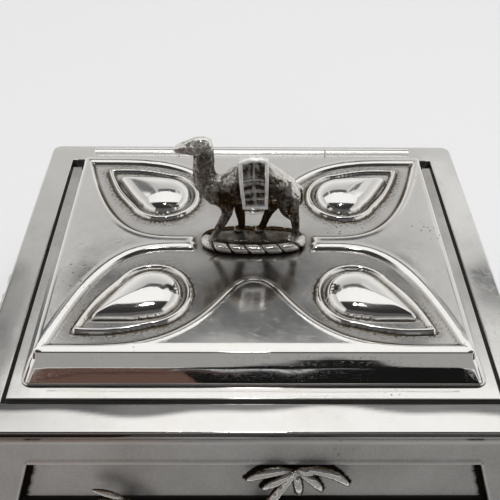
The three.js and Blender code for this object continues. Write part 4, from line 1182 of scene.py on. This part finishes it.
def addFrond(bm, crown, line, width, lift):
    s = palm
    leaf = stoppedGrid(np.linspace(0, 1, 37), np.linspace(-1, 1, 9))
    border = leaf.verts.layers.float.new("border")
    for v in leaf.verts:
        t, w = v.co.x, v.co.y
        # painted shade: darker along the frond's edges and at its foot near the crown
        v[border] = max(smoothStep(0.45, 0.9, abs(w)), 0.7 * smoothStep(0.3, 0.05, t))
        at = bezier(*line, t)
        along = (bezier(*line, min(t + 0.01, 1)) - bezier(*line, max(t - 0.01, 0))).normalized()
        side = Vector((0, 0, 1)).cross(along).normalized()
        out = along.cross(side)
        full = 0.25 + 0.75 * abs(math.sin(math.pi * min(t, 1) ** 1.15)) ** 0.55
        rib = abs(math.sin(math.pi * s["ribs"] * (t + 0.12 * abs(w))))
        half = width * full * (1 - 0.15 * abs(w) ** 4 * (1 - rib))
        height = s["thick"] * full * (1 - w * w) + 0.07 * rib * full * min(1, 2 * abs(w))
        root = Vector(crown) + Vector((0, 0, lift))
        v.co = root + at + side * (w * half) + out * (height - 0.2 * full * w * w)
    bmesh.ops.recalc_face_normals(leaf, faces=leaf.faces)
    bmesh.ops.solidify(leaf, geom=leaf.faces[:], thickness=s["thick"] * 0.6)
    part = bpy.data.meshes.new("frond")
    leaf.to_mesh(part)
    leaf.free()
    bm.from_mesh(part)
    bpy.data.meshes.remove(part)


def makePalm(node):
    s = palm
    sideName, (crownX, crownDrop), footX, size, turn = palms[node]
    place = sideFrame(sideName)[1]
    crown = (crownX, panelTopV + crownDrop, 0)
    foot = (footX, panelTopV - panelHeight + 1.5)
    lift = s["standOff"] - wall["panelDepth"]
    bm = bmesh.new()
    for tip, bend, width in s["fronds"]:
        addFrond(bm, crown, frondLine(tip, bend, size, turn), width * size, lift)
    top = Vector((crown[0], crown[1], lift + s["crown"] * s["relief"]))
    bottom = Vector((foot[0], foot[1], lift + wall["bankRise"] + s["trunkFoot"] * size))
    bow = top.lerp(bottom, 0.5) + Vector((-s["bow"] * size, 0, 0))
    rings = []
    steps = 60
    for i, (at, along) in enumerate(lineThrough([top, bow, bottom], steps)):
        t = i / steps
        notch = 1 + 0.09 * abs(math.sin(math.pi * 15 * t)) - 0.04
        half = size * (s["trunkTop"] + (s["trunkFoot"] - s["trunkTop"]) * t) * notch
        rings.append(ringMatrix(at, along, Vector((1, 0, 0)), half, half))
    sweep(bm, rings, 14)
    heart = s["heart"] * size
    for dx, dy in s["nuts"]:
        ball = Matrix.Translation((top.x + dx * heart, top.y + dy * heart, top.z + 0.35))
        ball = ball @ Matrix.Scale(0.5 * heart, 4)
        bmesh.ops.create_uvsphere(bm, u_segments=14, v_segments=8, radius=1, matrix=ball)
    bmesh.ops.transform(bm, matrix=place, verts=bm.verts)
    bmesh.ops.recalc_face_normals(bm, faces=bm.faces)
    words = node.split("_")
    name = words[0] + "".join(w.title() for w in words[1:])
    piece = makePiece(name, bm, "case", castSilver, node)
    # painted shade: frond edges, faces turned away from the wall's outward side and frond feet at the crown go dark
    facing = normalsOf(piece.data) @ np.array(place.to_3x3() @ Vector((0, 0, 1)))
    border = np.empty(len(facing))
    piece.data.attributes["border"].data.foreach_get("value", border)
    border = np.maximum(border, smoothStep(0.6, 0.3, facing))
    writePatinaAndShade(piece.data, 0.3, 0.1, rounds=1, extra=s["edgeDirtAndShade"] * border)


for palmNode in palms:
    makePalm(palmNode)
print("palms made")


def plainMaterial(name, colour, rough):
    material, _, shader = nodeTree(name)
    shader.inputs["Base Color"].default_value = rgb(*colour)
    shader.inputs["Roughness"].default_value = rough
    return material


def glowMaterial(name, colour, strength):
    material = bpy.data.materials.new(name)
    material.use_nodes = True
    tree = material.node_tree
    tree.nodes.clear()
    glow = addNode(tree, "ShaderNodeEmission", inputs={"Color": rgb(*colour), "Strength": strength})
    out = addNode(tree, "ShaderNodeOutputMaterial")
    tree.links.new(glow.outputs[0], out.inputs["Surface"])
    return material


def makeFloor():
    bm = bmesh.new()
    bmesh.ops.create_grid(bm, x_segments=1, y_segments=1, size=6)
    mesh = bpy.data.meshes.new("floor")
    bm.to_mesh(mesh)
    bm.free()
    floor = bpy.data.objects.new("floor", mesh)
    floor.location.z = -0.0002
    mesh.materials.append(plainMaterial("paleFloor", (0.82, 0.82, 0.825), 0.6))
    bpy.context.scene.collection.objects.link(floor)


# boards and screens round the table, seen only in the polish; a name that ends in Disc gives a round one
screens = {
    "ceiling": {"at": (0, 0.22, 0.85), "size": (1.8, 0.64), "glow": (1, 0.995, 0.985), "level": 0.94},
    "rightGlow": {"at": (0.7, 0.8, 0.86), "size": (0.62, 0.6), "glow": (1, 1, 0.99), "level": 0.72},
    "rightBeam": {"at": (0.49, 0.74, 0.845), "size": (0.17, 0.13), "glow": (0.94, 0.98, 1.0), "level": 0.14},
    "beam": {"at": (0, 0.675, 0.85), "size": (0.62, 0.25), "glow": (0.94, 0.98, 1.0), "level": 0.1},
    "leftBeam": {"at": (-0.7, 0.65, 0.845), "size": (0.6, 0.3), "glow": (0.94, 0.98, 1.0), "level": 0.14},
    "frontDark": {"at": (0, -0.53, 0.85), "size": (1.6, 0.86), "glow": (1, 0.97, 0.95), "level": 0.03},
    "frontFlag": {"at": (0, -0.96, 0.55), "size": (1.6, 0.6), "turn": (90, 0, 0),
                  "glow": (1, 0.97, 0.95), "level": 0.1},
    "frontGrey": {"at": (0, -0.96, 0.15), "size": (1.9, 0.2), "turn": (90, 0, 0),
                  "glow": (1, 0.99, 0.97), "level": 0.34},
    "blackDisc": {"at": (0.15, -0.955, 0.02), "size": (0.48, 0.16), "turn": (90, 0, 0),
                  "glow": (1, 1, 1), "level": 0.008},
    "brownMat": {"at": (-0.3222, -0.457, 0.0366), "size": (0.5, 0.91), "turn": (0, 0, -8.3),
                 "glow": (1, 0.60, 0.47), "level": 0.12},
    "blackMat": {"at": (0.168, -0.529, 0.0364), "size": (0.5, 0.91), "turn": (0, 0, -8.3),
                 "glow": (1, 1, 1), "level": 0.008},
    "grainDisc": {"at": (-0.045, -0.112, 0.0367), "size": (0.09, 0.012), "turn": (0, 0, 4),
                  "glow": (1, 0.52, 0.4), "level": 0.06},
    "knotDisc": {"at": (-0.105, -0.15, 0.0367), "size": (0.11, 0.016), "turn": (0, 0, -5),
                 "glow": (1, 0.55, 0.42), "level": 0.08},
    "streakDisc": {"at": (0.007, -0.125, 0.0369), "size": (0.06, 0.014), "glow": (1, 1, 1), "level": 0.8},
    "greyMat": {"at": (0, -0.16, 0.004), "size": (0.6, 0.2), "glow": (1, 0.99, 0.97), "level": 0.27},
}


def makeScreens():
    for name, s in screens.items():
        bm = bmesh.new()
        if name.endswith("Disc"):
            bmesh.ops.create_circle(bm, cap_ends=True, segments=48, radius=0.5)
        else:
            bmesh.ops.create_grid(bm, x_segments=1, y_segments=1, size=0.5)
        mesh = bpy.data.meshes.new(name)
        bm.to_mesh(mesh)
        bm.free()
        screen = bpy.data.objects.new(name, mesh)
        screen.location = s["at"]
        screen.scale = (*s["size"], 1)
        screen.rotation_euler = [math.radians(a) for a in s.get("turn", (0, 0, 0))]
        mesh.materials.append(glowMaterial(name, s["glow"], s["level"]))
        bpy.context.scene.collection.objects.link(screen)
        for sight in ("camera", "diffuse", "shadow", "transmission"):
            setattr(screen, f"visible_{sight}", False)


lamps = {
    "topSoft": {"at": (0.1, 0.25, 1.3), "aim": (0, 0, 0), "size": 1.1, "power": 8.6, "shine": True},
    "window": {"at": (0.0, -0.22, 0.76), "aim": (0, 0, 0.04), "size": 0.055, "power": 0.35, "shine": True},
    "fill": {"at": (0, -0.7, 0.5), "aim": (0, 0, 0.03), "size": 0.6, "power": 1.1, "shine": False},
}


def makeLamps():
    for name, s in lamps.items():
        data = bpy.data.lights.new(name, "AREA")
        data.size = s["size"]
        data.energy = s["power"]
        lamp = bpy.data.objects.new(name, data)
        lamp.location = s["at"]
        lamp.rotation_euler = (Vector(s["aim"]) - Vector(s["at"])).to_track_quat("-Z", "Y").to_euler()
        lamp.visible_glossy = s["shine"]
        data.use_shadow = s["shine"]
        bpy.context.scene.collection.objects.link(lamp)


backdrop = {"camera": (0.92, 0.92, 0.925), "low": 0.85, "high": 0.55, "ambient": 0.5}


def makeWorld():
    world = bpy.data.worlds.new("studio")
    bpy.context.scene.world = world
    world.use_nodes = True
    tree = world.node_tree
    tree.nodes.clear()
    way = addNode(tree, "ShaderNodeTexCoord").outputs["Generated"]
    rise = addNode(tree, "ShaderNodeSeparateXYZ", inputs={0: way}).outputs["Z"]
    fade = spanOf(tree, rise, 0.2, 0.6, backdrop["low"], backdrop["high"])
    paths = addNode(tree, "ShaderNodeLightPath").outputs
    shine = addNode(tree, "ShaderNodeBackground", inputs={"Color": rgb(1, 0.99, 0.975), "Strength": fade})
    seen = addNode(tree, "ShaderNodeBackground", inputs={"Color": rgb(*backdrop["camera"]), "Strength": 1.0})
    plain = addNode(tree, "ShaderNodeBackground", inputs={"Color": rgb(1, 1, 1), "Strength": backdrop["ambient"]})
    glossy = addNode(tree, "ShaderNodeMixShader", inputs={
        0: paths["Is Glossy Ray"], 1: plain.outputs[0], 2: shine.outputs[0]})
    last = addNode(tree, "ShaderNodeMixShader", inputs={
        0: paths["Is Camera Ray"], 1: glossy.outputs[0], 2: seen.outputs[0]})
    out = addNode(tree, "ShaderNodeOutputWorld")
    tree.links.new(last.outputs[0], out.inputs["Surface"])


view = {"lens": 48.524, "at": (-0.001986, -0.09953, 0.139278), "heading": -0.0132,
        "tilt": math.pi / 2 - 0.7785, "roll": 0.012}


def makeCamera():
    data = bpy.data.cameras.new("camera")
    data.lens = view["lens"]
    data.sensor_width = 36
    data.clip_start = 0.01
    camera = bpy.data.objects.new("camera", data)
    camera.matrix_world = (Matrix.Translation(view["at"]) @ Matrix.Rotation(view["heading"], 4, "Z")
                           @ Matrix.Rotation(view["tilt"], 4, "X") @ Matrix.Rotation(view["roll"], 4, "Z"))
    bpy.context.scene.collection.objects.link(camera)
    bpy.context.scene.camera = camera


makeFloor()
makeScreens()
makeLamps()
makeWorld()
makeCamera()
bpy.context.scene.view_settings.view_transform = "Standard"
print("stage made")
